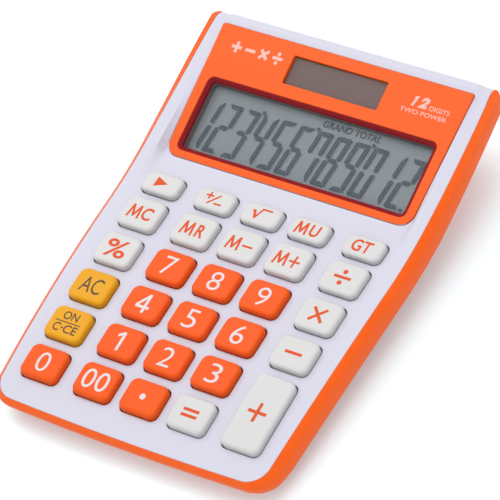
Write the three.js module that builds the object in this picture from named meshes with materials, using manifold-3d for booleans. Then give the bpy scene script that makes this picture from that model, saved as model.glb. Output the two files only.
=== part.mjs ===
// A compact desk calculator: two case shells, a tilted display panel, twenty-nine keys and
// what lies inside.  Millimetres, +Z up, +Y from the user towards the display.
//
// Most pieces are laid out on the deck, the plane that the keys lie in, which leans back on
// the desk by deckTilt.  On the deck u runs to the right, v towards the display and w out
// of the keys.  The display panel leans back further, by panelTilt, in a frame of its own.
import * as THREE from 'three';
import { mergeVertices } from 'three/addons/utils/BufferGeometryUtils.js';
import Module from 'manifold-3d';

const wasm = await Module();
wasm.setup();

// ---- driving dimensions, mm and degrees ----
const deckTilt = THREE.MathUtils.degToRad(5);
const panelTilt = THREE.MathUtils.degToRad(11.74);
const deckRise = 12.6; // height of the deck's origin over the desk
const gap = 0.3; // air between neighbouring pieces

// outline of the white top shell on the deck
const widestHalf = 50.6;
const widestAt = 82;
const frontTaper = 0.00031; // loss of half width per mm squared towards the user
const rearTaper = 0.0005; // and towards the rear
const frontEdge = -9.7;
const frontBow = 0.9; // how far the middle of the front edge stands out
const rearEdge = 128.8;
const frontCorner = 6.6;
const rearCorner = 0.8;
const archCrest = 27.5; // v of the deck's highest line
const archCurve = 0.000824; // fall per mm squared away from the crest
const panelFoot = 81.3; // v of the panel's lower edge
const panelFootDrop = -2.8; // w there
const cheekStart = 60; // where the white margins begin to rise beside the panel
const cheekLift = [0.00379, 0.00068]; // curve of that rise before and beside the panel
const cheekInner = 44.6; // half width where the cheeks' slope begins
const cheekOuter = 47.4;
const rearRoundOver = 2.6; // radius of the shell's rounded upper rear edge

// shells
const plate = 2; // thickness of the top shell over the keys
const panelSeat = 1.9; // depth of the recess that the panel lies in
const panelPlate = 3.6; // depth of the top shell's underside below the panel's face
const skirtDepth = 5.2; // how far the top shell's walls reach down
const wall = 1.7;
const rimOut = 2.2; // how far the lower shell's rim stands out at the sides
const rimOutFront = 1.2;
const chamferDrop = 2;
const rimWall = [4, 5.3]; // height of the rim's wall at the front and at the rear
const lipWall = 0.6; // the same along the front lip
const tuckSide = 4; // how far the underside tucks in below the rim
const tuckFront = 6;
const rearTuck = 3.5; // the same at the rear edge
const rimRearCorner = 3; // the rim's own rear corners are rounder than the white shell's
const lowerWall = 2.2; // how far the lower shell's cavity stays inside the outline
const floorLevel = -11.06; // w of the underside below the keys
const floorBend = 84; // v where the underside turns up, parallel to the panel
const floorThick = 1.6;

// keys
const columnPitch = 17;
const sideColumn = 36.4; // u of the outer columns
const rowPitch = 13.77;
const firstRow = 3.2; // v of the front row's centre
const smallRow = 69.8; // v of the row nearest the display
const keyHalf = [6.6, 5.3];
const smallHalf = 3.7;
const keyCorner = 2;
const keyProud = 2.1; // cap height over the deck
const keyBevel = 0.9;
const keySkirt = plate + gap; // depth of the flange's upper face
const flangeThick = 1;
const flangeOut = 0.9;
const holeClear = 0.35; // air between a cap and its opening
const keyTravel = 1.5;

// inside
const sheetLevel = [-7.9, -7.1]; // the rubber sheet's faces
const boardLevel = [-9.2, -8.2]; // the circuit board's faces
const boardHalf = 43;
const boardSpan = [-3, 78.5];
const sheetSpan = [-3, 75.5];
const chipRadius = 4.5;
const chipPlace = [-8, 66];
const chipThick = 0.7;
const domeRadius = [3.2, 2]; // of the rubber domes under the keys, at the foot and the top
const bossPlaces = [[-26.7, 10.1], [26.7, 10.1], [-26.7, 51.4], [26.7, 51.4]];
const rearBossPlaces = [[-41, 119], [41, 119]];
const bossRadius = 2;
const pilotRadius = 1;
const screwRadius = 0.75;
const screwHead = [1.6, 0.8]; // radius and height
const screwLength = 4;

// panel, in its own frame: s up the panel from its lower edge, n out of its face
const panelLength = 43.9;
const panelHalf = [44.2, 45.3]; // at the lower and the upper edge
const panelCorner = [4.5, 1.2];
const panelFace = 0.4; // how far its face stands over the frame's plane
const panelThick = 2;
const windowHalf = 41.4;
const windowSpan = [2.3, 26.9];
const windowCorner = 2.2;
const frameWide = 1.2; // width of the dark frame round the display window
const solarHalf = 17;
const solarSpan = [30.9, 40.1];
const frameTop = -0.5; // upper face of the dark frame
const lensThick = 0.9;
const glassThick = 1.6;
const lcdHalf = [41, 11.6]; // half size of the display glass
const holderLevel = [-6.6, -3.95]; // the display holder's faces
const holderWall = 2;
const solarWindowLevel = [-1.5, -0.1];
const solarCellLevel = [-3.2, -1.9];
const tailHalf = 9; // half width of the display's flexible tail

// battery hump, cover, cell and feet, over the desk
const humpHalf = [33, 39]; // at the bottom and where it meets the underside
const humpSpan = [88, 121]; // along Y from the deck's origin, at the bottom
const humpFlare = [6, 5];
const humpBottom = 1.6;
const humpTop = 24;
const humpCorner = 5;
const humpWall = 1.8;
const coverHalf = 11;
const coverLength = 21;
const coverThick = 1.4;
const humpFloor = humpBottom + floorThick + coverThick + gap; // Z of the floor inside the hump
const cellRadius = 5.8;
const cellHeight = 3.1;
const cellAt = 111.5; // Y of the cell's axis
const footRadius = 4.5;
const frontFeet = [34, 6]; // X and Y of the front feet
const rearFeet = [26, 93];
const contactHalf = [4, 2.5];
const contactThick = 0.4;
const contactAway = 12; // from the cell's axis to the minus contact
const capacitorPlace = [18, 104];
const capacitorSize = [3, 6.5]; // radius and height

const colours = {
  white: 0xdbd9e6, orange: 0xfc7036, amber: 0xeba51e, cream: 0xe0dece, darkRed: 0x7a1519,
  clear: 0xdfe8ea, lcd: 0x8c9694, solar: 0x51403c, board: 0x2f6b3a, rubber: 0xb9b9bd,
  black: 0x1d1d20, steel: 0xc3c5c8, red: 0xb0201c, film: 0xc98f35,
};

// ---- surfaces of the deck ----
const archHeight = (v) => -archCurve * (v - archCrest) ** 2;

function deckHeight(v) {
  if (v < panelFoot) return archHeight(v);
  return panelFootDrop + (v - panelFoot) * Math.tan(panelTilt);
}

// The outer edge of the deck rises in one smooth curve, so it stands over the panel's foot.
function edgeHeight(v) {
  if (v < cheekStart) return archHeight(v);
  const startSlope = -2 * archCurve * (cheekStart - archCrest);
  const first = Math.min(v, panelFoot) - cheekStart;
  const height = archHeight(cheekStart) + startSlope * first + cheekLift[0] * first * first;
  if (v < panelFoot) return height;
  const slope = startSlope + 2 * cheekLift[0] * first;
  const second = v - panelFoot;
  return height + slope * second + cheekLift[1] * second * second;
}

function topHeight(u, v) {
  const share = THREE.MathUtils.smoothstep(Math.abs(u), cheekInner, cheekOuter);
  return THREE.MathUtils.lerp(deckHeight(v), edgeHeight(v), share);
}

function floorHeight(v) {
  return floorLevel + Math.max(0, v - floorBend) * Math.tan(panelTilt);
}

function halfWidth(v) {
  const away = v - widestAt;
  return widestHalf - (away < 0 ? frontTaper : rearTaper) * away * away;
}

// ---- solids ----
// Lines across the shell from its rear edge to its front edge, each given by its half length
// and its v, for an outline grown by side, front and rear.
const stations = [119, 110, 100, 90, 84, 80, 76, 70, 60, 50, 40, 28, 16, 5];
function shellRows({ side = 0, front = 0, rear = 0, rearRound = rearCorner }) {
  const rows = [];
  const frontRound = Math.max(frontCorner + Math.min(side, front), 1);
  const back = rearEdge + rear;
  const near = frontEdge - front;
  const rearU = halfWidth(back - rearRound) + side - rearRound;
  const frontU = halfWidth(near + frontRound) + side - frontRound;
  for (let step = 0; step <= 2; step++) {
    const angle = (Math.PI / 4) * (2 - step);
    const v = back - rearRound + rearRound * Math.sin(angle);
    rows.push([rearU + rearRound * Math.cos(angle), v]);
  }
  for (const v of stations) rows.push([halfWidth(v) + side, v]);
  for (let step = 0; step <= 6; step++) {
    const angle = (Math.PI / 12) * step;
    const v = near + frontRound - frontRound * Math.sin(angle);
    rows.push([frontU + frontRound * Math.cos(angle), v]);
  }
  return rows;
}

// Points along one row from left to right, at fixed shares of its half length.  The rows
// nearest the front edge bow out towards the user.
const acrossShares = [-1, -0.94, -0.89, -0.5, 0, 0.5, 0.89, 0.94, 1];
function rowPoints([half, v], height) {
  const nearFront = 1 - THREE.MathUtils.smoothstep(v, frontEdge, frontEdge + 12);
  return acrossShares.map((share) => {
    const u = half * share;
    const bowed = v - frontBow * nearFront * (1 - (u / halfWidth(frontEdge)) ** 2);
    return [u, bowed, height(u, bowed)];
  });
}

// Turns triangles given as corner positions into a solid, merging what coincides.
function closed(triangles) {
  const geometry = new THREE.BufferGeometry();
  geometry.setAttribute('position', new THREE.Float32BufferAttribute(triangles.flat(2), 3));
  const merged = mergeVertices(geometry, 1e-4);
  const index = Array.from(merged.index.array);
  const kept = [];
  for (let i = 0; i < index.length; i += 3) {
    const [a, b, c] = index.slice(i, i + 3);
    if (a !== b && b !== c && c !== a) kept.push(a, b, c);
  }
  return new wasm.Manifold(new wasm.Mesh({
    numProp: 3,
    vertProperties: Float32Array.from(merged.attributes.position.array),
    triVerts: Uint32Array.from(kept),
  }));
}

function solidOf(geometry) {
  const bare = geometry.index ? geometry.toNonIndexed() : geometry.clone();
  const place = bare.attributes.position.array;
  const triangles = [];
  for (let i = 0; i < place.length; i += 9) {
    triangles.push([0, 3, 6].map((k) => Array.from(place.slice(i + k, i + k + 3))));
  }
  return closed(triangles);
}

function geometryOf(solid) {
  const mesh = solid.getMesh();
  const geometry = new THREE.BufferGeometry();
  geometry.setAttribute('position', new THREE.BufferAttribute(mesh.vertProperties, 3));
  geometry.setIndex(new THREE.BufferAttribute(mesh.triVerts, 1));
  return geometry;
}

// A solid through loops of equal length, listed from the bottom up, each seen from above
// going clockwise; the ends are closed by the triangles that capOf returns.
function loft(loops, bottomCap, topCap) {
  const triangles = [...topCap, ...bottomCap.map(([a, b, c]) => [a, c, b])];
  for (let level = 0; level + 1 < loops.length; level++) {
    const low = loops[level];
    const high = loops[level + 1];
    low.forEach((point, i) => {
      const next = (i + 1) % low.length;
      triangles.push([point, high[i], high[next]], [point, high[next], low[next]]);
    });
  }
  return closed(triangles);
}

// A surface over all rows, facing up.
function rowCap(rows) {
  const triangles = [];
  for (let i = 0; i + 1 < rows.length; i++) {
    const [back, near] = [rows[i], rows[i + 1]];
    for (let k = 0; k + 1 < acrossShares.length; k++) {
      triangles.push([back[k], near[k], near[k + 1]], [back[k], near[k + 1], back[k + 1]]);
    }
  }
  return triangles;
}

// Levels of the case, bottom first: how the outline is grown and its height over the deck.
function deckSolid(levels) {
  const grids = levels.map((level) => {
    const rows = shellRows(level);
    return rows.map((row) => rowPoints(row, level.height));
  });
  const end = acrossShares.length - 1;
  const loops = grids.map((rows) => {
    const inner = rows.slice(1, -1);
    const right = inner.map((row) => row[end]);
    const left = inner.map((row) => row[0]).reverse();
    const front = [...rows[rows.length - 1]].reverse();
    return [...rows[0], ...right, ...front, ...left];
  });
  return loft(loops, rowCap(grids[0]), rowCap(grids[grids.length - 1]));
}

// Corner points of a rounded rectangle, clockwise from above.
function roundedLoop(u, v, halfU, halfV, radius, steps = 2) {
  const points = [];
  for (let corner = 0; corner < 4; corner++) {
    const signU = corner === 0 || corner === 1 ? 1 : -1;
    const signV = corner === 0 || corner === 3 ? 1 : -1;
    for (let step = 0; step <= steps; step++) {
      const angle = Math.PI / 2 - (Math.PI / 2) * (corner + step / steps);
      const centreU = u + signU * (halfU - radius);
      const centreV = v + signV * (halfV - radius);
      points.push([centreU + radius * Math.cos(angle), centreV + radius * Math.sin(angle)]);
    }
  }
  return points;
}

// Closes a loop with triangles about its middle, facing up.
function fan(loop) {
  const mean = (axis) => loop.reduce((sum, p) => sum + p[axis], 0) / loop.length;
  const centre = [0, 1, 2].map(mean);
  return loop.map((point, i) => [centre, loop[(i + 1) % loop.length], point]);
}

function prism(outlines, heights) {
  const loops = outlines.map((outline, i) => outline.map(([u, v]) => [u, v, heights[i]]));
  return loft(loops, fan(loops[0]), fan(loops[loops.length - 1]));
}

function block(u, v, halfU, halfV, low, high, radius = 0.4) {
  const outline = roundedLoop(u, v, halfU, halfV, radius);
  return prism([outline, outline], [low, high]);
}

function disc(u, v, radius, low, high, sides = 12, topRadius = radius) {
  const ring = (r) => Array.from({ length: sides }, (_, i) => {
    const angle = (-2 * Math.PI * i) / sides;
    return [u + r * Math.cos(angle), v + r * Math.sin(angle)];
  });
  return prism([ring(radius), ring(topRadius)], [low, high]);
}

function moved(solid, matrix) {
  const geometry = geometryOf(solid);
  geometry.applyMatrix4(matrix);
  return solidOf(geometry);
}

function finish(colour, roughness, metalness = 0, opacity = 1) {
  return { color: colour, roughness, metalness, opacity, transparent: opacity < 1 };
}

function addPiece(group, name, solid, look) {
  const mesh = new THREE.Mesh(geometryOf(solid), new THREE.MeshStandardMaterial(look));
  mesh.name = name;
  group.add(mesh);
}

const desk = new THREE.Group();
const deck = new THREE.Group();
deck.rotation.x = deckTilt;
deck.position.z = deckRise;
const panelFrame = new THREE.Group();
panelFrame.rotation.x = panelTilt;
panelFrame.position.set(0, panelFoot, panelFootDrop);
deck.add(panelFrame);
desk.add(deck);
desk.updateMatrixWorld(true);
const deckToDesk = deck.matrixWorld;
const panelToDeck = panelFrame.matrix;

// ---- keys ----
// Name, column from the middle, row from the front and colour.
const keyTable = [
  ['key_0', -2, 0, 'orange'], ['key_00', -1, 0, 'orange'], ['key_point', 0, 0, 'orange'],
  ['key_equals', 1, 0, 'cream'], ['key_plus', 2, 0.5, 'cream'],
  ['key_on_clear', -2, 1, 'amber'], ['key_1', -1, 1, 'orange'], ['key_2', 0, 1, 'orange'],
  ['key_3', 1, 1, 'orange'],
  ['key_ac', -2, 2, 'amber'], ['key_4', -1, 2, 'orange'], ['key_5', 0, 2, 'orange'],
  ['key_6', 1, 2, 'orange'], ['key_minus', 2, 2, 'cream'],
  ['key_percent', -2, 3, 'cream'], ['key_7', -1, 3, 'orange'], ['key_8', 0, 3, 'orange'],
  ['key_9', 1, 3, 'orange'], ['key_multiply', 2, 3, 'cream'],
  ['key_mc', -2, 4, 'cream'], ['key_mr', -1, 4, 'cream'], ['key_m_minus', 0, 4, 'cream'],
  ['key_m_plus', 1, 4, 'cream'], ['key_divide', 2, 4, 'cream'],
  ['key_backspace', -2, 5, 'cream'], ['key_sign', -1, 5, 'cream'], ['key_root', 0, 5, 'cream'],
  ['key_mu', 1, 5, 'cream'], ['key_gt', 2, 5, 'cream'],
];

const keys = keyTable.map(([name, column, row, colour]) => {
  const u = Math.abs(column) === 2 ? Math.sign(column) * sideColumn : column * columnPitch;
  const v = row === 5 ? smallRow : firstRow + row * rowPitch;
  const tall = Number.isInteger(row) ? 0 : rowPitch / 2;
  const halfV = row === 5 ? smallHalf : keyHalf[1] + tall;
  return { name, colour, u, v, halfU: keyHalf[0], halfV };
});

// A cap with a bevelled rim on a flange that stays under the top shell.
function keySolid(key) {
  const flangeTop = -keySkirt;
  const levels = [
    [flangeOut, flangeTop - flangeThick], [flangeOut, flangeTop], [0, flangeTop],
    [0, keyProud - keyBevel], [-keyBevel, keyProud],
  ];
  const loops = levels.map(([grow, rise]) => {
    const radius = keyCorner + grow * 0.7;
    const outline = roundedLoop(key.u, key.v, key.halfU + grow, key.halfV + grow, radius);
    return outline.map(([u, v]) => [u, v, archHeight(v) + rise]);
  });
  return loft(loops, fan(loops[0]), fan(loops[loops.length - 1]));
}

for (const key of keys) {
  addPiece(deck, key.name, keySolid(key), finish(colours[key.colour], 0.42));
}

// ---- top shell ----
const overDeck = 12; // a height clear of every surface of the deck
const plateEnd = 78; // where the shell's underside drops to clear the panel's seat
const cavityHeight = (u, v) => deckHeight(v) - (v < plateEnd ? plate : panelPlate);
const skirtHeight = (u, v) => topHeight(Math.sign(u || 1) * widestHalf, v) - skirtDepth;
const edgeFall = (drop) => (u, v) => topHeight(u, v) - drop;

function topShell() {
  const side = -gap / 2;
  let shell = deckSolid([
    { side, rear: 0, front: side, height: skirtHeight },
    { side, rear: 0, front: side, height: edgeFall(rearRoundOver) },
    { side, rear: -0.3 * rearRoundOver, front: side, height: edgeFall(0.3 * rearRoundOver) },
    { side: side - 0.1, rear: -rearRoundOver, front: side - 0.1, height: topHeight },
  ]);
  shell = shell.subtract(deckSolid([
    { side: -wall, rear: -wall, front: -wall, height: (u, v) => deckHeight(v) - overDeck },
    { side: -wall, rear: -wall, front: -wall, height: cavityHeight },
  ]));
  for (const key of keys) {
    const radius = keyCorner + holeClear;
    const opening = [key.halfU + holeClear, key.halfV + holeClear];
    const outline = roundedLoop(key.u, key.v, ...opening, radius);
    shell = shell.subtract(prism([outline, outline], [-overDeck, overDeck]));
  }
  shell = shell.subtract(moved(panelSolid(gap, -panelSeat, overDeck), panelToDeck));
  const lensHole = aroundOpening(windowSpan, windowHalf);
  const solarHole = aroundOpening(solarSpan, solarHalf);
  shell = shell.subtract(moved(lensHole, panelToDeck)).subtract(moved(solarHole, panelToDeck));
  for (const [u, v] of bossPlaces) shell = addBoss(shell, u, v, archHeight(v), floorLevel);
  for (const [u, v] of rearBossPlaces) {
    shell = addBoss(shell, u, v, deckHeight(v) - plate, floorHeight(v + bossRadius));
  }
  return shell;
}

// A hole through the shell behind an opening of the panel, a little larger than it.
function aroundOpening(span, half) {
  const middle = (span[0] + span[1]) / 2;
  const reach = (span[1] - span[0]) / 2 + 1;
  return block(0, middle, half + 1, reach, -overDeck, 0, 1);
}

// A screw boss from the underside of the top shell to just over the lower shell's floor.
function addBoss(shell, u, v, top, bottom) {
  const foot = bottom + floorThick + gap;
  const post = disc(u, v, bossRadius, foot, top - plate + 0.5);
  const pilot = disc(u, v, pilotRadius, foot - 1, top - plate - 0.6, 8);
  return shell.add(post).subtract(pilot);
}

// The panel's outline widens a little towards its upper edge.
function panelOutline(grow) {
  const half = panelLength / 2 + grow;
  const points = [];
  const widthAt = (s) => THREE.MathUtils.lerp(...panelHalf, s / panelLength) + grow;
  const corners = [[1, 1, panelCorner[1]], [1, -1, panelCorner[0]], [-1, -1, panelCorner[0]],
    [-1, 1, panelCorner[1]]];
  corners.forEach(([signU, signS, radius], corner) => {
    const middle = panelLength / 2 + signS * (half - radius - grow);
    for (let step = 0; step <= 4; step++) {
      const angle = Math.PI / 2 - (Math.PI / 2) * (corner + step / 4);
      const s = middle + (radius + grow) * Math.sin(angle);
      const reach = widthAt(s) - grow - radius;
      points.push([signU * reach + (radius + grow) * Math.cos(angle), s]);
    }
  });
  return points;
}

function panelSolid(grow, low, high) {
  const outline = panelOutline(grow);
  return prism([outline, outline], [low, high]);
}

addPiece(deck, 'top_case', topShell(), finish(colours.white, 0.4));

// ---- display panel and what is behind it ----
const lcdMiddle = (windowSpan[0] + windowSpan[1]) / 2;
function windowBlock(grow, low, high) {
  const half = (windowSpan[1] - windowSpan[0]) / 2;
  const corner = windowCorner + grow * 0.6;
  return block(0, lcdMiddle, windowHalf + grow, half + grow, low, high, corner);
}

const panelBack = panelFace - panelThick;
const solarMiddle = (solarSpan[0] + solarSpan[1]) / 2;
const solarReach = (solarSpan[1] - solarSpan[0]) / 2;
const panelPlateSolid = panelSolid(0, panelBack, panelFace)
  .subtract(windowBlock(0, -overDeck, overDeck))
  .subtract(block(0, solarMiddle, solarHalf, solarReach, -overDeck, overDeck, 0.6));
addPiece(panelFrame, 'display_panel', panelPlateSolid, finish(colours.orange, 0.3));

const windowFrame = windowBlock(-gap / 2, panelBack, frameTop)
  .subtract(windowBlock(-frameWide, -overDeck, overDeck));
addPiece(panelFrame, 'window_frame', windowFrame, finish(colours.darkRed, 0.4));

const lensTop = panelBack - gap;
const lensOverlap = 0.6; // the lens reaches this far behind the panel round its window
const lens = windowBlock(lensOverlap, lensTop - lensThick, lensTop);
addPiece(panelFrame, 'display_lens', lens, finish(colours.clear, 0.08, 0, 0.3));

const glassTop = lensTop - lensThick - gap;
const lcdGlass = block(0, lcdMiddle, ...lcdHalf, glassTop - glassThick, glassTop, 0.3);
addPiece(panelFrame, 'lcd_glass', lcdGlass, finish(colours.lcd, 0.2));

// The holder is a tray under the display glass, open below and notched for the flat tail.
const [trayHalfU, trayHalfS] = lcdHalf.map((half) => half + holderWall);
const trayLedge = 3; // the glass rests on a ledge this wide
const trayFloor = 0.6;
const tailNotch = 4.4;
const holder = block(0, lcdMiddle, trayHalfU, trayHalfS, ...holderLevel, 0.6)
  .subtract(block(0, lcdMiddle, lcdHalf[0] + gap, lcdHalf[1] + gap, holderLevel[0] + trayFloor, 0))
  .subtract(block(0, lcdMiddle + 1, lcdHalf[0] - trayLedge, lcdHalf[1] - trayLedge, -overDeck, 0))
  .subtract(block(0, lcdMiddle - lcdHalf[1], lcdHalf[0] - 8, tailNotch, -overDeck, 0));
addPiece(panelFrame, 'lcd_holder', holder, finish(colours.white, 0.6));

const solarInset = gap / 2;
const solarWindow = block(0, solarMiddle, solarHalf - solarInset, solarReach - solarInset,
  ...solarWindowLevel, 0.5);
addPiece(panelFrame, 'solar_window', solarWindow, finish(colours.clear, 0.08, 0, 0.3));
const solarCell = block(0, solarMiddle, solarHalf - 0.1, solarReach, ...solarCellLevel, 0.3);
addPiece(panelFrame, 'solar_cell', solarCell, finish(colours.solar, 0.15));

// ---- rubber sheet and circuit board ----
function sheetBlock(levels, half, span) {
  return block(0, (span[0] + span[1]) / 2, half, (span[1] - span[0]) / 2, ...levels, 2);
}

let sheet = sheetBlock(sheetLevel, boardHalf, sheetSpan);
let board = sheetBlock(boardLevel, boardHalf, boardSpan);
for (const [u, v] of bossPlaces) {
  sheet = sheet.subtract(disc(u, v, bossRadius + 0.5, -overDeck, 0, 8));
  board = board.subtract(disc(u, v, bossRadius + 0.5, -overDeck, 0, 8));
}
for (const key of keys) {
  const domeTop = archHeight(key.v) - keySkirt - flangeThick - keyTravel - gap;
  const [foot, top] = domeRadius;
  sheet = sheet.add(disc(key.u, key.v, foot, sheetLevel[0] + 0.2, domeTop, 8, top));
}
addPiece(deck, 'rubber_keypad', sheet, finish(colours.rubber, 0.75));
addPiece(deck, 'main_board', board, finish(colours.board, 0.5));

const chipTop = boardLevel[0] - gap;
const chipLow = chipTop - chipThick;
const chipCover = disc(...chipPlace, chipRadius - 1, chipLow, chipTop, 12, chipRadius);
addPiece(deck, 'chip_cover', chipCover, finish(colours.black, 0.6));

// ---- lower shell ----
function wallDrop(v) {
  const share = THREE.MathUtils.clamp((v - frontEdge) / (rearEdge - frontEdge), 0, 1);
  const along = THREE.MathUtils.lerp(rimWall[0], rimWall[1], share);
  const nearFront = THREE.MathUtils.smoothstep(v, frontEdge - rimOutFront, frontEdge + 12);
  return chamferDrop + THREE.MathUtils.lerp(lipWall, along, nearFront);
}

function desked(solid) {
  return moved(solid, deckToDesk);
}

// A tapering block over the desk between two heights, given by its spans along X and Y.
function deskTaper(halfLow, spanLow, halfHigh, spanHigh, low, high, radius) {
  const outlines = [[halfLow, spanLow], [halfHigh, spanHigh]].map(([half, span]) => (
    roundedLoop(0, (span[0] + span[1]) / 2, half, (span[1] - span[0]) / 2, radius, 3)));
  return prism(outlines, [low, high]);
}

const outOfBounds = 40; // deeper or higher than anything, for cutting tools
function lowerShell() {
  const rim = { side: rimOut, front: rimOutFront, rear: 0, rearRound: rimRearCorner };
  const tucked = { side: rimOut - tuckSide, front: rimOutFront - tuckFront, rear: -rearTuck };
  const against = { side: gap / 2, front: gap / 2, rear: 0, rearRound: rimRearCorner };
  const outer = deckSolid([
    { ...tucked, height: (u, v) => floorHeight(v) },
    { ...rim, height: (u, v) => edgeHeight(v) - wallDrop(v) },
    { ...rim, height: (u, v) => edgeHeight(v) - chamferDrop },
    { ...against, height: (u, v) => edgeHeight(v) - 0.05 },
  ]);
  const flareSpan = [humpSpan[0] - humpFlare[0], humpSpan[1] + humpFlare[1]];
  const hump = deskTaper(humpHalf[0], humpSpan, humpHalf[1], flareSpan,
    humpBottom, humpTop, humpCorner);
  let shell = desked(outer).add(hump.intersect(underside(0, -2, 1)));
  const seat = { side: gap / 2, front: gap / 2, rear: 6 };
  const skirtClear = (u, v) => edgeHeight(v) - skirtDepth - gap;
  shell = shell.subtract(desked(deckSolid([
    { ...seat, height: skirtClear },
    { ...seat, height: () => outOfBounds },
  ])));
  const onFloor = { side: -tuckSide + 0.2, front: -tuckFront, rear: -tuckSide };
  const insideWall = { side: -lowerWall, front: -lowerWall, rear: -lowerWall };
  shell = shell.subtract(desked(deckSolid([
    { ...onFloor, height: (u, v) => floorHeight(v) + floorThick },
    { ...insideWall, height: skirtClear },
    { ...insideWall, height: () => outOfBounds },
  ])));
  const inner = deskTaper(
    humpHalf[0] - humpWall,
    [humpSpan[0] + humpWall, humpSpan[1] - humpWall],
    humpHalf[1] - humpWall,
    [flareSpan[0] + humpWall, flareSpan[1] - humpWall],
    humpFloor,
    humpTop,
    humpCorner - 1,
  );
  return shell.subtract(inner.intersect(underside(-3, -5, floorThick + 0.5)));
}

// All that lies below the underside's surface, raised by rise and drawn in from the edges.
function underside(side, rear, rise) {
  return desked(deckSolid([
    { side, front: side, rear, height: () => floorLevel - outOfBounds },
    { side, front: side, rear, height: (u, v) => floorHeight(v) + rise },
  ]));
}

// The opening for the battery cover runs out through the rear of the hump.
const coverRear = humpSpan[1] - 0.4;
const coverMiddle = coverRear - coverLength / 2;
const coverReach = coverLength / 2;
const chipPocket = disc(...chipPlace, chipRadius + 1, chipLow - gap, 0, 12);
let lower = lowerShell().subtract(desked(chipPocket));
const wayOut = 5; // the cover's slot runs this far past its rear edge
const coverWay = block(0, coverMiddle + wayOut, coverHalf + gap, coverReach + wayOut + gap,
  0, humpBottom + coverThick + gap, 0.5);
const pocketTop = humpBottom + coverThick + cellHeight + 2;
const cellPocket = disc(0, cellAt, cellRadius + 0.6, 0, pocketTop, 16);
lower = lower.subtract(coverWay).subtract(cellPocket);

const headSink = screwHead[1] + 0.1;
for (const [u, v] of [...bossPlaces, ...rearBossPlaces]) {
  const base = floorHeight(v);
  const through = disc(u, v, screwRadius + 0.3, base - 3, base + floorThick + 1, 8);
  const sink = disc(u, v, screwHead[0] + 0.2, base - 3, base + headSink, 10);
  lower = lower.subtract(desked(through)).subtract(desked(sink));
}
addPiece(desk, 'bottom_case', lower, finish(colours.orange, 0.38));

const gripDepth = 0.5;
const gripHalf = [4, 0.6];
const gripAway = [5, 7.4]; // from the cover's middle to its two finger grooves
let coverPlate = block(0, coverMiddle, coverHalf, coverReach, humpBottom,
  humpBottom + coverThick, 1.2);
for (const away of gripAway) {
  const groove = block(0, coverMiddle + away, ...gripHalf, 0, humpBottom + gripDepth, 0.2);
  coverPlate = coverPlate.subtract(groove);
}
addPiece(desk, 'battery_cover', coverPlate, finish(colours.orange, 0.4));

const cellBase = humpBottom + coverThick + gap;
const cell = disc(0, cellAt, cellRadius, cellBase, cellBase + cellHeight, 20);
addPiece(desk, 'button_cell', cell, finish(colours.steel, 0.25, 1));

// ---- contacts, capacitor and leads ----
const springBase = cellBase + cellHeight + gap;
const contactFloor = humpFloor + gap;
const plusDisc = disc(0, cellAt, contactHalf[0], springBase, springBase + contactThick, 10);
addPiece(desk, 'contact_plus', plusDisc, finish(colours.steel, 0.3, 1));
const minusBlade = block(0, cellAt - contactAway, ...contactHalf, contactFloor,
  contactFloor + contactThick);
addPiece(desk, 'contact_minus', minusBlade, finish(colours.steel, 0.3, 1));
const [canRadius, canHeight] = capacitorSize;
const can = disc(...capacitorPlace, canRadius, contactFloor, contactFloor + canHeight, 12);
addPiece(desk, 'capacitor', can, finish(colours.black, 0.4));

// A thin insulated wire through hand-placed points.
function lead(points, radius = 0.45) {
  const curve = new THREE.CatmullRomCurve3(points.map((p) => new THREE.Vector3(...p)));
  const section = new THREE.Shape();
  section.absarc(0, 0, radius, 0, 2 * Math.PI);
  const along = { steps: 11, extrudePath: curve, curveSegments: 6, bevelEnabled: false };
  return solidOf(new THREE.ExtrudeGeometry(section, along));
}

// Each lead is one soft bend from its contact over the housing's edge to the board's end.
const boardEnd = [[88.5, 12.9], [84.5, 11.9], [80.5, 11.7], [77.2, 11.7]];
const toBoard = (...xs) => boardEnd.map(([y, z], i) => [xs[i], y, z]);
const leadTable = [
  ['battery_lead_red', colours.red, [
    [3.5, cellAt, 8], [7, 105, 8.2], [10, 98, 9.6], [12, 92, 12], ...toBoard(13.5, 14.5, 15, 15),
  ]],
  ['battery_lead_black', colours.black, [
    [-3, cellAt - contactAway, 6.5], [-8, 96, 8.4], [-11, 92, 11.6],
    ...toBoard(-13, -14, -15, -15),
  ]],
  ['solar_lead', colours.white, [
    [20, 118, 21.2], [27, 114, 17], [28, 106, 14.6], [26, 97, 13.2], [24, 92, 13],
    ...toBoard(23, 22, 22, 22),
  ]],
];
for (const [name, colour, points] of leadTable) {
  addPiece(desk, name, lead(points), finish(colour, 0.5));
}

// The flat flexible tail that joins the display glass to the board.
function ribbon(points, half, thick) {
  const outline = new THREE.Shape();
  points.forEach(([v, w], i) => (i ? outline.lineTo(v, w) : outline.moveTo(v, w)));
  const under = [...points].reverse();
  under.forEach(([v, w]) => outline.lineTo(v - thick * 0.4, w - thick));
  const across = { depth: 2 * half, steps: 1, bevelEnabled: false };
  const strip = new THREE.ExtrudeGeometry(outline, across);
  strip.rotateX(Math.PI / 2);
  strip.rotateZ(Math.PI / 2);
  strip.translate(-half, 0, 0);
  return solidOf(strip);
}

const tailPoints = [[78, -7.6], [80.5, -7.5], [82.2, -7.2], [83.6, -6.9]];
addPiece(deck, 'lcd_flex', ribbon(tailPoints, tailHalf, 0.2), finish(colours.film, 0.4));

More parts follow.
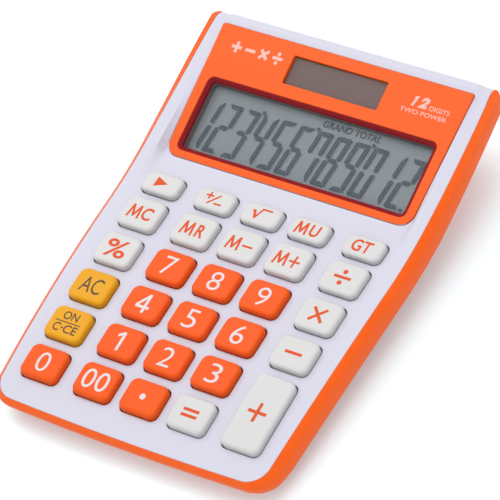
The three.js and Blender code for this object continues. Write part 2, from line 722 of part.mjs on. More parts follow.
// ---- feet ----
// The front feet fill the wedge between the sloping underside and the desk.
const footFinish = finish(colours.black, 0.85);
for (const [side, sign] of [['left', -1], ['right', 1]]) {
  const [frontX, frontY] = frontFeet;
  const front = disc(sign * frontX, frontY, footRadius, 0, 8, 16);
  addPiece(desk, `foot_front_${side}`, front.intersect(underside(0, 0, -gap)), footFinish);
  const [rearX, rearY] = rearFeet;
  const rear = disc(sign * rearX, rearY, footRadius, 0, humpBottom - gap, 16);
  addPiece(desk, `foot_rear_${side}`, rear, footFinish);
}

// ---- screws ----
function screw(u, v) {
  const base = floorHeight(v);
  const head = disc(u, v, screwHead[0], base, base + screwHead[1], 10);
  return head.add(disc(u, v, screwRadius, base + 0.2, base + screwLength, 8));
}
[...bossPlaces, ...rearBossPlaces].forEach(([u, v], i) => {
  addPiece(deck, `case_screw_${i + 1}`, screw(u, v), finish(colours.steel, 0.35, 1));
});

// The finished object stands with its middle over the origin.
const bounds = new THREE.Box3().setFromObject(desk, true);
desk.position.y = -(bounds.min.y + bounds.max.y) / 2;

export default desk;
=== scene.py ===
import math

import bpy
import numpy as np
from mathutils import Matrix, Vector


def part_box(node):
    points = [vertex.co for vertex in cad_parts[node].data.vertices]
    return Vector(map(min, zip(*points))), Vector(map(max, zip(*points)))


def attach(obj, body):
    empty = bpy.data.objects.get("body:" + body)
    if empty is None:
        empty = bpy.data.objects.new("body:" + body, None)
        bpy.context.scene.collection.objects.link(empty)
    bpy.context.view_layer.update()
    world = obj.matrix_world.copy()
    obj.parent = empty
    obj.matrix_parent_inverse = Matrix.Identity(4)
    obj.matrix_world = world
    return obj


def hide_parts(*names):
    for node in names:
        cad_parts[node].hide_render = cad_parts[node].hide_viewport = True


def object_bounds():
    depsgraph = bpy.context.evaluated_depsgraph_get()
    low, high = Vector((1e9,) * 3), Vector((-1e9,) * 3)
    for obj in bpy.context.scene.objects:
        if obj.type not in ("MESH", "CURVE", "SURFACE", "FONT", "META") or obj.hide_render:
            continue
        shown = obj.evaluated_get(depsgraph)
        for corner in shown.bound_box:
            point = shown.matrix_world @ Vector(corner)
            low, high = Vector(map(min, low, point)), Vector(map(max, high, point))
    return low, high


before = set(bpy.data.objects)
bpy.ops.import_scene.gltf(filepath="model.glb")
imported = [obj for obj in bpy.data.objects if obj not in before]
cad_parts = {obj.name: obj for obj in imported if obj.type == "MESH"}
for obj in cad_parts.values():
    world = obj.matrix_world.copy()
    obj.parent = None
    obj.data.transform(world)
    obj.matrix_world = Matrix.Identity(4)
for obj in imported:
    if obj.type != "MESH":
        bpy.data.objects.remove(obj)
cad_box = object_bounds()

# STUDIO.  A pale sweep of floor, soft boxes hung to the left, the right and overhead, and
# a long lens above the right front corner, a little turned on its axis.
scene = bpy.context.scene
scene.view_settings.view_transform = "Standard"
box_middle = (cad_box[0] + cad_box[1]) / 2


def feed(tree, sockets, feeds):
    """Gives each socket, by name or number, a plain value or a link from another node."""
    for label, value in feeds.items():
        if isinstance(value, bpy.types.NodeSocket):
            tree.links.new(value, sockets[label])
        else:
            sockets[label].default_value = value


def feed_shader(material, **feeds):
    """Links a material's shader to what drives it."""
    tree = material.node_tree
    feeds = {label.replace("_", " "): value for label, value in feeds.items()}
    feed(tree, tree.nodes["Principled BSDF"].inputs, feeds)
    return material


def principled(name, base, roughness, **sockets):
    """A new Principled material; plain values are set straight on the shader's sockets."""
    material = bpy.data.materials.new(name)
    material.use_nodes = True
    return feed_shader(material, Base_Color=(*base, 1.0), Roughness=roughness, **sockets)


def make_object(name, solid, place=np.array):
    """A mesh object with its place in its mesh, from points and faces; place turns the
    points into metres in the row's frame."""
    points, faces = solid
    mesh = bpy.data.meshes.new(name)
    mesh.from_pydata(place(points).tolist(), [], [list(map(int, face)) for face in faces])
    mesh.validate()
    made = bpy.data.objects.new(name, mesh)
    scene.collection.objects.link(made)
    return made


floor_half = 1.6
floor_corners = np.array([(-1, -1, 0), (1, -1, 0), (1, 1, 0), (-1, 1, 0)]) * floor_half
floor = make_object("studio_floor", (floor_corners, [(0, 1, 2, 3)]))
floor.data.materials.append(principled("floor_paint", (0.80, 0.88, 0.89), 0.8,
                                       Emission_Color=(0.5, 0.92, 1.0, 1), Emission_Strength=0.2))

world = bpy.data.worlds.new("studio_air")
world.use_nodes = True
feed(world.node_tree, world.node_tree.nodes["Background"].inputs,
     {"Color": (0.95, 0.97, 1.0, 1.0), "Strength": 0.95})
scene.world = world


def soft_box(name, place, size, power, tint=(1.0, 1.0, 1.0)):
    """A square area light that faces the object."""
    light = bpy.data.lights.new(name, "AREA")
    light.shape = "SQUARE"
    light.size = size
    light.energy = power
    light.color = tint
    lamp = bpy.data.objects.new(name, light)
    lamp.location = place
    lamp.rotation_euler = (box_middle - Vector(place)).to_track_quat("-Z", "Y").to_euler()
    scene.collection.objects.link(lamp)


soft_box("box_left", (-0.62, 0.30, 0.80), 0.6, 2.6, (1.0, 0.98, 0.96))
soft_box("box_overhead", (0.05, 0.10, 1.10), 0.8, 4.0, (0.97, 0.98, 1.0))
soft_box("box_right", (0.55, -0.75, 0.9), 0.7, 0.4)

camera_azimuth, camera_elevation, camera_roll = np.radians([51.92, 46.31, 24.84])
camera_distance = 1.2467
camera_aim = box_middle + Vector((0.0009, 0.0012, -0.0003))
camera_data = bpy.data.cameras.new("long_lens")
camera_data.lens = 310.5
camera_data.sensor_width = 36.0
camera_data.clip_start = 0.05
camera = bpy.data.objects.new("long_lens", camera_data)
camera.matrix_world = (
    Matrix.Translation(camera_aim) @ Matrix.Rotation(camera_azimuth, 4, "Z")
    @ Matrix.Rotation(math.pi / 2 - camera_elevation, 4, "X") @ Matrix.Rotation(-camera_roll, 4, "Z")
    @ Matrix.Translation((0, 0, camera_distance))
)
scene.collection.objects.link(camera)
scene.camera = camera

# BOTTOM CASE.  The orange lower shell, moulded in ABS with a satin skin: a chamfered rim
# that wraps round the white shell, an underside tucked in below it, and the battery
# housing that props the display up.
mm = 0.001
deck_tilt = math.radians(5)
panel_tilt = math.radians(11.74)
cell_low, cell_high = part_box("button_cell")
cell_at, cell_radius, cell_height = 111.5, 5.8, 3.1
deck_origin = np.array([0, (cell_low.y + cell_high.y) / 2 - cell_at * mm, 12.6 * mm])
widest_half, widest_at = 50.6, 82.0
front_taper, rear_taper = 0.00031, 0.0005
front_edge, front_bow, front_corner, front_reach = -9.7, 0.9, 6.6, 12
rear_edge = 128.8
arch_crest, arch_curve = 27.5, 0.000824
panel_foot, panel_foot_drop = 81.3, -2.8
cheek_start, cheek_inner, cheek_outer = 60.0, 44.4, 46.5
cheek_end, cheek_broad = 86, (5, 8)
cheek_rise = (0.00379, 0.00068)


def smooth_step(x, low, high):
    """0 below low and 1 above high, with the cubic 3t^2 - 2t^3 between them."""
    t = np.clip((x - low) / (high - low), 0, 1)
    return t * t * (3 - 2 * t)


def arch_height(v):
    """Height of the key bed: a parabola that falls off each way from its crest."""
    return -arch_curve * (v - arch_crest) ** 2


def deck_height(v):
    """The key bed's parabola as far as the panel's foot, and the panel's plane beyond."""
    plane = panel_foot_drop + (v - panel_foot) * math.tan(panel_tilt)
    return np.where(v < panel_foot, arch_height(v), plane)


def edge_height(v):
    """Height along the shell's outer edge: the parabola, then two quadratics that start
    with the slope the last one ended with."""
    slope = -2 * arch_curve * (cheek_start - arch_crest)
    first = np.clip(v, cheek_start, panel_foot) - cheek_start
    second = np.maximum(v - panel_foot, 0)
    rise = slope * first + cheek_rise[0] * first**2
    onward = (slope + 2 * cheek_rise[0] * first) * second + cheek_rise[1] * second**2
    return np.where(v < cheek_start, arch_height(v), arch_height(cheek_start) + rise + onward)


def top_height(u, v):
    """The deck, blended into the edge's height across the cheeks, which are steep beside
    the panel and broad and shallow in front of it."""
    broad = 1 - smooth_step(v, cheek_start, cheek_end)
    width = cheek_outer - cheek_inner + cheek_broad[1] * broad
    share = smooth_step((np.abs(u) - cheek_inner + cheek_broad[0] * broad) / width, 0, 1)
    return deck_height(v) * (1 - share) + edge_height(v) * share


def half_width(v):
    """Half width of the white shell: a parabola each way from its widest place."""
    away = v - widest_at
    return widest_half - np.where(away < 0, front_taper, rear_taper) * away**2


def from_deck(points):
    """Deck millimetres (u right, v to the display, w out of the keys) to the row's metres:
    a turn about X by the deck's tilt, then the deck's origin."""
    u, v, w = np.asarray(points, float).T * mm
    cos, sin = math.cos(deck_tilt), math.sin(deck_tilt)
    return np.stack([u, v * cos - w * sin, v * sin + w * cos], 1) + deck_origin


def from_desk(points):
    """Millimetres over the desk, with Y from the deck's origin, to the row's metres."""
    return np.asarray(points, float) * mm + deck_origin * (0, 1, 0)


def from_panel(points):
    """Panel millimetres (u right, s up the panel, n out of its face) to the row's metres."""
    u, s, n = np.asarray(points, float).T
    cos, sin = math.cos(panel_tilt), math.sin(panel_tilt)
    return from_deck(np.stack([u, panel_foot + s * cos - n * sin,
                               panel_foot_drop + s * sin + n * cos], 1))


def smooth(piece, degrees=35):
    """Smooth shading with the edges sharper than the angle kept crisp."""
    piece.data.shade_smooth()
    piece.data.set_sharp_from_angle(angle=math.radians(degrees))
    return piece


def flatten(piece):
    """Smooth shading where broad faces keep their own flat normal."""
    smooth(piece, 40)
    piece.modifiers.new("weigh", "WEIGHTED_NORMAL").keep_sharp = True
    return piece


def settle(piece, material, body, slot, *nodes):
    """Gives a finished piece its material and body and hides the CAD nodes it stands for; slot is not
    used.
    """
    piece.data.materials.clear()
    piece.data.materials.append(material)
    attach(piece, body)
    if nodes:
        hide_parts(*nodes)


def shell_rows(side, front, rear, rear_round, stations):
    """Half lengths and places of the lines across the case: a round rear corner, the bowed
    side at each station and a round front corner, for an outline grown by the first three."""
    front_round = max(front_corner + min(side, front), 1.0)
    back, near = rear_edge + rear, front_edge - front
    rear_u = half_width(back - rear_round) + side - rear_round
    front_u = half_width(near + front_round) + side - front_round
    turn_in = np.linspace(math.pi / 2, 0, 7)
    turn_out = np.linspace(0, math.pi / 2, 15)
    half = np.concatenate([rear_u + rear_round * np.cos(turn_in), half_width(stations) + side,
                           front_u + front_round * np.cos(turn_out)])
    place = np.concatenate([back - rear_round + rear_round * np.sin(turn_in), stations,
                            near + front_round - front_round * np.sin(turn_out)])
    return half, place


def level(side, front, height, rear=0.0, rear_round=0.8):
    """One level of a case solid: its outline's growth, and its height over u and v."""
    return (side, front, rear, rear_round), height


def above(base, rise):
    """A level's height: a line of the case's profile, raised by some millimetres."""
    return lambda u, v: base(v) + rise


def row_grid(rows, shares, height):
    """Points at fixed shares of every row; rows near the front bow out by a parabola."""
    half, place = rows
    u = half[:, None] * shares[None, :]
    near_front = 1 - smooth_step(place, front_edge, front_edge + front_reach)[:, None]
    bow = front_bow * near_front * (1 - (u / half_width(front_edge)) ** 2)
    v = place[:, None] - bow
    return np.stack([u, v, height(u, v)], 2)


def walls(low, high):
    """Quads between two loops of point numbers, facing out of a clockwise outline."""
    return np.stack([low, high, np.roll(high, -1), np.roll(low, -1)], 1)


def deck_solid(levels, shares, stations):
    """A closed solid lofted through levels of the case's outline, bottom first, with the
    lowest and the highest closed by a grid that follows their own height."""
    grids = [row_grid(shell_rows(*outline, stations), shares, height) for outline, height in levels]
    index = np.arange(grids[0][..., 0].size).reshape(grids[0].shape[:2])
    rim = np.concatenate([index[0], index[1:-1, -1], index[-1, ::-1], index[1:-1, 0][::-1]])
    flat = [grid.reshape(-1, 3) for grid in grids]
    points = [flat[0]] + [grid[rim] for grid in flat[1:-1]] + [flat[-1]]
    starts = np.cumsum([0] + [len(part) for part in points])
    loops = [start + np.arange(len(rim)) for start in starts[:-1]]
    loops[0] = rim
    loops[-1] = starts[-2] + rim
    quads = np.stack([index[:-1, :-1], index[1:, :-1], index[1:, 1:], index[:-1, 1:]], 2)
    quads = quads.reshape(-1, 4)
    faces = [walls(low, high) for low, high in zip(loops, loops[1:])]
    faces += [quads[:, ::-1], quads + starts[-2]]
    return np.concatenate(points), np.concatenate(faces)


def rounded_loop(u, v, half_u, half_v, radius, steps=6):
    """Points round a rectangle with round corners, clockwise from above and from the upper
    right one; radius is a number or a column with one for each corner."""
    angle = math.pi / 2 - np.arange(4)[:, None] * math.pi / 2
    angle = angle - np.linspace(0, math.pi / 2, steps + 1)[None, :]
    side_u = np.array([1, 1, -1, -1])[:, None] * (half_u - radius)
    side_v = np.array([1, -1, -1, 1])[:, None] * (half_v - radius)
    return np.stack([(u + side_u + radius * np.cos(angle)).ravel(),
                     (v + side_v + radius * np.sin(angle)).ravel()], 1)


def round_loop(u, v, radius, count=32):
    """Points round a circle, clockwise from above."""
    angle = -np.linspace(0, 2 * math.pi, count, endpoint=False)
    return np.stack([u + radius * np.cos(angle), v + radius * np.sin(angle)], 1)


def stack(outlines, heights):
    """A solid through outlines of equal length at the given heights, bottom first; heights
    are numbers or functions of the outline's points, and the ends close on their middles."""
    u, v = np.asarray(outlines[0], float).T
    clockwise = ((np.roll(u, -1) - u) * (np.roll(v, -1) + v)).sum() > 0
    points = []
    for outline, height in zip(outlines, heights):
        outline = np.asarray(outline, float)[::1 if clockwise else -1]
        w = height(outline) if callable(height) else np.full(len(outline), float(height))
        points.append(np.column_stack([outline, w]))
    count = len(points[0])
    ring = np.arange(count)
    onward = np.roll(ring, -1)
    last, end = (len(points) - 1) * count, len(points) * count
    faces = []
    for start in range(0, last, count):
        faces += walls(ring + start, ring + start + count).tolist()
    faces += np.column_stack([onward, np.full(count, end), ring]).tolist()
    faces += np.column_stack([ring + last, np.full(count, end + 1), onward + last]).tolist()
    return np.vstack(points + [[points[0].mean(0), points[-1].mean(0)]]), faces


def prism(outline, low, high):
    """An upright solid of one outline between two heights."""
    return stack([outline, outline], [low, high])


def lofted(marks, outline):
    """A solid through outline(grow) at the height of each (grow, height) mark."""
    return stack([outline(grow) for grow, _ in marks], [height for _, height in marks])


def turned(profile, u, v, base, count=48):
    """A solid turned about an upright axis, from marks of its radius and rise over a base."""
    marks = [(radius, base + rise) for radius, rise in profile]
    return lofted(marks, lambda radius: round_loop(u, v, radius, count))


def quarter(steps):
    """1 - cos and 1 - sin at even steps of a quarter turn, for a rounded edge."""
    return [(1 - math.cos(turn), 1 - math.sin(turn)) for turn in np.linspace(0, math.pi / 2, steps)]


def joined(solids):
    """Several separate solids as one set of points and faces."""
    points, faces, start = [], [], 0
    for solid_points, solid_faces in solids:
        points.append(solid_points)
        faces += [[number + start for number in face] for face in solid_faces]
        start += len(solid_points)
    return np.vstack(points), faces


def carve(piece, tool, operation="DIFFERENCE"):
    """Cuts or joins another object with an exact boolean, keeps the result and throws the
    other object away."""
    modifier = piece.modifiers.new("carve", "BOOLEAN")
    modifier.object = tool
    modifier.operation = operation
    modifier.solver = "EXACT"
    graph = bpy.context.evaluated_depsgraph_get()
    carved = bpy.data.meshes.new_from_object(piece.evaluated_get(graph))
    piece.modifiers.clear()
    piece.data = carved
    bpy.data.objects.remove(tool)


def cut(piece, solid, place):
    """Cuts a solid out of a piece."""
    carve(piece, make_object("cutter", solid, place))


rim_out, rim_out_front, chamfer_front, chamfer_rear = 2.198, 1.2, 2.0, 0.6
rim_wall_front, rim_wall_rear, lip_wall = 4.0, 5.3, 0.6
tuck_side, tuck_front, tuck_rear = 4.0, 6.0, 3.5
floor_level, floor_bend, floor_thick = -11.06, 84.0, 1.6
skirt_depth, rear_fall, rim_fall, rim_rear_round = 5.2, 3.05, 1.9, 3.0
chamfer_span = (72, 124)
seam, wall_thick, past_top, past_rear = 0.03, 2.2, 12, 6
hollow_side, hollow_front, hollow_rear = 3.8, 6.0, 4


def floor_height(v):
    """The underside: level with the deck below the keys, then parallel to the panel."""
    return floor_level + np.maximum(v - floor_bend, 0) * math.tan(panel_tilt)


def chamfer_drop(v):
    """Depth of the rim's chamfer: steady beside the keys, flattening towards the rear."""
    return chamfer_front + (chamfer_rear - chamfer_front) * smooth_step(v, *chamfer_span)


def wall_drop(v):
    """Depth of the rim's lower edge: a low lip in front that soon grows to the side wall."""
    share = np.clip((v - front_edge) / (rear_edge - front_edge), 0, 1)
    along = rim_wall_front + (rim_wall_rear - rim_wall_front) * share
    side = smooth_step(v, front_edge - rim_out_front, front_edge + front_reach)
    return chamfer_drop(v) + lip_wall + (along - lip_wall) * side


def rim_height(v):
    """Height of the rim's inner edge: the cheek's, rounding over at the rear."""
    back = np.clip((v - (rear_edge - rear_fall)) / rear_fall, 0, 1)
    return edge_height(v) - rim_fall * (1 - np.sqrt(np.maximum(1 - back**2, 0)))


case_stations = np.concatenate([np.arange(122.0, 2, -2.0), [1.0, -1.0]])
case_shares = np.sin(np.linspace(-1, 1, 33) * math.pi / 2)
rim_levels = [level(rim_out - tuck_side - ease, rim_out_front - tuck_front - ease,
                    above(floor_height, rise), -tuck_rear - ease, rear_round)
              for ease, rise, rear_round in ((1, 0, 2.0), (0, 0.3, 2.2))]
for share in np.linspace(0.15, 1, 5):
    bend = math.sin(share * math.pi / 2)
    rim_levels.append(level(
        rim_out - tuck_side * (1 - bend), rim_out_front - tuck_front * (1 - bend),
        lambda u, v, share=share: (floor_height(v) + 0.3) * (1 - share)
        + (edge_height(v) - wall_drop(v)) * share,
        -tuck_rear * (1 - bend), rim_rear_round))
for side, front, part, drop in [(rim_out, rim_out_front, 1, 0.25),
                                (rim_out - 0.08, rim_out_front - 0.06, 0.96, 0),
                                (rim_out - 0.25, rim_out_front - 0.15, 0.85, 0),
                                (seam + 0.15, seam + 0.12, 0, 0.14), (seam, seam, 0, 0.02)]:
    rim_levels.append(level(
        side, front, lambda u, v, part=part, drop=drop: rim_height(v) - chamfer_drop(v) * part - drop,
        0.0, rim_rear_round))
bottom_case = make_object("bottom_case_shell", deck_solid(rim_levels, case_shares, case_stations),
                          from_deck)

hump_half, hump_span = (33.0, 39.0), (88.0, 121.0)
hump_flare, hump_round = (6.0, 5.0), 0.9
hump_bottom, hump_top, hump_corner = 1.6, 24.0, 5.0


def housing_solid():
    """The battery housing: a round-cornered block that widens upwards at a steady rate,
    with its lower edge rounded."""
    outlines, heights = [], []
    for lift, pull in quarter(5) + [((hump_top - hump_bottom) / hump_round, 0)]:
        pull *= hump_round
        share = lift * hump_round / (hump_top - hump_bottom)
        half = hump_half[0] + (hump_half[1] - hump_half[0]) * share - pull
        near = hump_span[0] - hump_flare[0] * share + pull
        far = hump_span[1] + hump_flare[1] * share - pull
        outlines.append(rounded_loop(0, (near + far) / 2, half, (far - near) / 2,
                                     hump_corner - pull * 0.5))
        heights.append(hump_bottom + lift * hump_round)
    return stack(outlines, heights)


under_levels = [level(0, 0, above(floor_height, rise), -2) for rise in (-40, 1)]
hump = make_object("battery_housing", housing_solid(), from_desk)
under = deck_solid(under_levels, case_shares[::4], case_stations[::4])
carve(hump, make_object("underside", under, from_deck), "INTERSECT")
carve(bottom_case, hump, "UNION")

seat_reach = (above(edge_height, -skirt_depth - 0.1), above(edge_height, past_top))
seat_levels = [level(seam, seam, height, past_rear) for height in seat_reach]
cut(bottom_case, deck_solid(seat_levels, case_shares, case_stations), from_deck)
hollow_levels = [level(-hollow_side, -hollow_front, above(floor_height, floor_thick), -hollow_rear)]
hollow_levels += [level(-wall_thick, -wall_thick, height, -wall_thick) for height in seat_reach]
cut(bottom_case, deck_solid(hollow_levels, case_shares[::2], case_stations[::2]), from_deck)

cover_half, cover_length, cover_thick = 11.0, 21.0, 1.4
cover_rear = hump_span[1] - 0.4
cover_middle = cover_rear - cover_length / 2
cover_top = hump_bottom + cover_thick
cover_way = rounded_loop(0, cover_middle + 5, cover_half + 0.15, cover_length / 2 + 5.15, 0.8)
cut(bottom_case, prism(cover_way, -1, cover_top + 0.3), from_desk)
cell_well = round_loop(0, cell_at, cell_radius + 0.6)
cut(bottom_case, prism(cell_well, 0, cover_top + cell_height + 2), from_desk)

screw_places = [(-26.7, 10.1), (26.7, 10.1), (-26.7, 51.4), (26.7, 51.4), (-41, 119), (41, 119)]
sink_profile = [(2.3, -3), (2.0, -0.02), (1.85, 0.2), (1.85, 0.95)]
sinks = [turned(sink_profile, u, v, floor_height(v), 24) for u, v in screw_places]
cut(bottom_case, joined(sinks), from_deck)


def add_node(tree, kind, sockets, **settings):
    """A new shader node with its settings, its sockets fed with values or links."""
    made = tree.nodes.new("ShaderNode" + kind)
    for setting, value in settings.items():
        setattr(made, setting, value)
    feed(tree, made.inputs, sockets)
    return made


def maths(tree, operation, *values):
    """The result of a Math node."""
    return add_node(tree, "Math", dict(enumerate(values)), operation=operation).outputs[0]


def noise(tree, vector, scale, detail=2.0, roughness=0.5):
    """The value of a noise texture."""
    return add_node(tree, "TexNoise", {"Vector": vector, "Scale": scale, "Detail": detail,
                                       "Roughness": roughness}).outputs["Fac"]


def object_point(tree):
    """The Object coordinates in a material."""
    return add_node(tree, "TexCoord", {}).outputs["Object"]


def socket_group(name, inputs, outputs):
    """An empty shader node group.  An input with no default is a vector, one with a tuple a
    colour and the others values; returns the group and its inner sockets."""
    group = bpy.data.node_groups.new(name, "ShaderNodeTree")
    for label, default in inputs.items():
        kind = "Vector" if default is None else "Color" if isinstance(default, tuple) else "Float"
        made = group.interface.new_socket(label, in_out="INPUT", socket_type="NodeSocket" + kind)
        if default is not None:
            made.default_value = default
    for label in outputs:
        kind = "Color" if label == "Colour" else "Float"
        group.interface.new_socket(label, in_out="OUTPUT", socket_type="NodeSocket" + kind)
    return group, group.nodes.new("NodeGroupInput").outputs, group.nodes.new("NodeGroupOutput").inputs


def place_group(tree, group, sockets):
    """A group placed in a material over its Object coordinates; returns its outputs."""
    placed = add_node(tree, "Group", {}, node_tree=group)
    feed(tree, placed.inputs, {"Vector": object_point(tree), **sockets})
    return placed.outputs


def bumped(tree, height, strength, depth):
    """A normal raised by a height."""
    return add_node(tree, "Bump", {"Strength": strength, "Distance": depth,
                                   "Height": height}).outputs["Normal"]


def build_moulded_skin():
    """The skin of a satin moulding: a fine spark-eroded grain, slow mottling of the colour,
    faint handling marks in the gloss and convex edges made a little lighter, partly as rubbed wear and
    partly as a painted highlight."""
    group, put, get = socket_group(
        "moulded_skin",
        {"Vector": None, "Colour": (0.8, 0.8, 0.8, 1), "Roughness": 0.4, "Grain": 2600.0,
         "Mottle": 0.04, "Marks": 0.08, "Edge": 0.5, "Wear_and_highlight": 0.1},
        ("Colour", "Roughness", "Height"),
    )
    point = put["Vector"]
    swing = maths(group, "SUBTRACT", noise(group, point, 38.0, 3.0), 0.5)
    mottled = maths(group, "MULTIPLY_ADD", swing, put["Mottle"], 1.0)
    # Convex edges lighter by pointiness: partly rubbed wear, partly a painted highlight.
    edge = add_node(group, "MapRange", {"Value": put["Edge"], "From Min": 0.51, "From Max": 0.60})
    rubbed_and_highlit = maths(group, "MULTIPLY_ADD", edge.outputs["Result"], put["Wear_and_highlight"], mottled)
    tone = add_node(group, "VectorMath", {0: put["Colour"], "Scale": rubbed_and_highlit}, operation="SCALE")
    marks = maths(group, "SUBTRACT", noise(group, point, 160.0, 5.0, 0.65), 0.5)
    gloss = maths(group, "MULTIPLY_ADD", marks, put["Marks"], put["Roughness"])
    feed(group, get, {"Colour": tone.outputs[0], "Roughness": gloss,
                      "Height": noise(group, point, put["Grain"])})
    return group


moulded_skin = build_moulded_skin()
mould_depth = 0.00005


def moulded(name, colour, roughness, bump=0.12, mottle=0.04, marks=0.08, grain=2600.0, edge_wear_and_highlight=0.1,
            specular=0.5, **sockets):
    """A moulded plastic or rubber: the moulded_skin group on a Principled shader."""
    material = principled(name, colour, roughness, Specular_IOR_Level=specular, **sockets)
    tree = material.node_tree
    # Pointiness feeds the lighter convex edges, which are partly wear and partly a painted highlight.
    edge = add_node(tree, "NewGeometry", {}).outputs["Pointiness"]
    skin = place_group(tree, moulded_skin, {
        "Colour": (*colour, 1), "Roughness": roughness, "Grain": grain, "Mottle": mottle,
        "Marks": marks, "Wear_and_highlight": edge_wear_and_highlight, "Edge": edge})
    return feed_shader(material, Base_Color=skin["Colour"], Roughness=skin["Roughness"],
                       Normal=bumped(tree, skin["Height"], bump, mould_depth))


orange_shell_skin = moulded("orange_shell_skin", (0.79, 0.098, 0.005), 0.45, bump=0.15, specular=0.15)
settle(smooth(bottom_case, 32), orange_shell_skin, "case", "shell_orange", "bottom_case")

# FEET.  Four self-adhesive discs of black rubber; the front pair is wedge shaped, because
# the underside above them slopes.
foot_radius = 4.5
foot_places = {"foot_front_left": (-34, 6), "foot_front_right": (34, 6),
               "foot_rear_left": (-26, 93), "foot_rear_right": (26, 93)}
rubber_skin = moulded("rubber_skin", (0.022, 0.022, 0.024), 0.78, bump=0.5, marks=0.2, grain=1500.0)


def underside_height(outline):
    """Height over the desk of the sloping underside, for points given in the desk's plane."""
    cos, sin = math.cos(deck_tilt), math.sin(deck_tilt)
    v = (outline[:, 1] + floor_level * sin) / cos
    return v * sin + floor_level * cos + deck_origin[2] / mm


for name, (x, y) in foot_places.items():
    top = underside_height if "front" in name else hump_bottom
    foot_marks = [(0.5, 0.0), (0.2, 0.06), (0.05, 0.2), (0.0, 0.4), (0.0, top)]
    foot = lofted(foot_marks, lambda pull: round_loop(x, y, foot_radius - pull, 48))
    settle(smooth(make_object(name + "_pad", foot, from_desk), 40), rubber_skin, "case",
           "foot_black", name)

# BATTERY GEAR.  A steel button cell under the cover, its two sprung contacts, the
# smoothing capacitor beside them and the leads that run forward to the board.


def build_plated_metal():
    """Plated steel: fine scratches along one way and slow clouds in the gloss."""
    group, put, get = socket_group("plated_metal", {"Vector": None, "Roughness": 0.25, "Clouds": 0.15},
                                   ("Roughness", "Height"))
    stretch = add_node(group, "Mapping", {"Vector": put["Vector"], "Scale": (300, 9000, 3000)})
    clouds = noise(group, put["Vector"], 240.0)
    feed(group, get, {"Roughness": maths(group, "MULTIPLY_ADD", clouds, put["Clouds"], put["Roughness"]),
                      "Height": noise(group, stretch.outputs[0], 1.0, 3.0)})
    return group


plated_metal = build_plated_metal()


def plated(name, colour, roughness):
    """A plated metal: the plated_metal group on a metallic Principled shader."""
    material = principled(name, colour, roughness, Metallic=1.0)
    tree = material.node_tree
    skin = place_group(tree, plated_metal, {"Roughness": roughness})
    return feed_shader(material, Roughness=skin["Roughness"],
                       Normal=bumped(tree, skin["Height"], 0.15, 0.00002))


def dress(material, *nodes):
    """Gives the CAD nodes that are kept a better material."""
    for node in nodes:
        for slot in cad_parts[node].material_slots:
            slot.material = material


cell_base = cover_top + 0.3
cell_profile = [(4.6, 0), (4.75, 0.02), (4.9, 0.12), (5.35, 0.14), (5.62, 0.22), (5.76, 0.4),
                (cell_radius, 0.65), (cell_radius, 2.75), (5.74, 2.95), (5.55, 3.06),
                (5.2, cell_height)]
can_base, can_place = cell_base + 1.9, (18, 104)
can_profile = [(2.8, 0), (3.0, 0.15), (3.0, 0.9), (2.88, 1.05), (2.88, 1.25), (3.0, 1.4),
               (3.0, 6.2), (2.85, 6.42), (2.5, 6.5), (2.2, 6.42)]
button_cell = make_object("button_cell_can", turned(cell_profile, 0, cell_at, cell_base, 72),
                          from_desk)
capacitor = make_object("capacitor_can", turned(can_profile, *can_place, can_base), from_desk)
nickel = plated("nickel_plate", (0.66, 0.66, 0.65), 0.22)
sleeve_skin = moulded("sleeve_skin", (0.02, 0.02, 0.03), 0.3, bump=0.1)
settle(smooth(button_cell, 30), nickel, "case", "steel", "button_cell")
settle(smooth(capacitor, 40), sleeve_skin, "case", "black_resin", "capacitor")
dress(plated("spring_plate", (0.62, 0.60, 0.55), 0.3), "contact_plus", "contact_minus")
dress(moulded("red_insulation", (0.50, 0.012, 0.01), 0.4), "battery_lead_red")
dress(moulded("black_insulation", (0.015, 0.015, 0.017), 0.4), "battery_lead_black")
dress(moulded("white_insulation", (0.70, 0.70, 0.68), 0.4), "solar_lead")

# CIRCUIT BOARD.  Phenolic laminate with green solder mask over copper tracks, and the
# processor under a blob of black epoxy on its lower side.


def etched_board(name):
    """Green solder mask, lighter and raised where the copper tracks of a brick pattern run
    below it."""
    material = principled(name, (0.02, 0.16, 0.06), 0.35)
    tree = material.node_tree
    tracks = add_node(tree, "TexBrick", {
        "Vector": object_point(tree), "Scale": 160.0, "Mortar Size": 0.055, "Mortar Smooth": 0.2,
        "Color1": (0.015, 0.13, 0.05, 1), "Color2": (0.02, 0.15, 0.06, 1),
        "Mortar": (0.08, 0.30, 0.10, 1)}).outputs
    return feed_shader(material, Base_Color=tracks["Color"],
                       Normal=bumped(tree, tracks["Fac"], 0.4, 0.00004))


dress(etched_board("solder_mask"), "main_board")
dress(moulded("epoxy_blob", (0.012, 0.012, 0.013), 0.35, bump=0.3, grain=700.0), "chip_cover")

# RUBBER KEYPAD.  One sheet of grey silicone rubber with a dome under every key, laid on
# the board; the conductive pill in each dome closes the contact below it.
dress(moulded("silicone_skin", (0.42, 0.42, 0.44), 0.65, bump=0.25), "rubber_keypad")

# DISPLAY.  A twisted-nematic glass with a grey-green reflector, in a moulded holder; a flat
# film tail joins it to the board.  The segments' shadow on the reflector is painted: a fainter copy of
# them, set a little to one side.
window_middle, window_reach, window_half, window_corner = 14.6, 12.3, 41.4, 2.2
glass_half, glass_low, glass_top = (41.0, 11.6), -4.7, -3.1
dress(moulded("holder_skin", (0.60, 0.60, 0.62), 0.5), "lcd_holder")
dress(moulded("film_skin", (0.50, 0.22, 0.03), 0.3), "lcd_flex")


def blended(tree, factor, first, second):
    """A mix of two colours by a factor."""
    mix = add_node(tree, "Mix", {}, data_type="RGBA")
    feed(tree, mix.inputs, {0: factor, 6: first, 7: second})
    return mix.outputs[2]


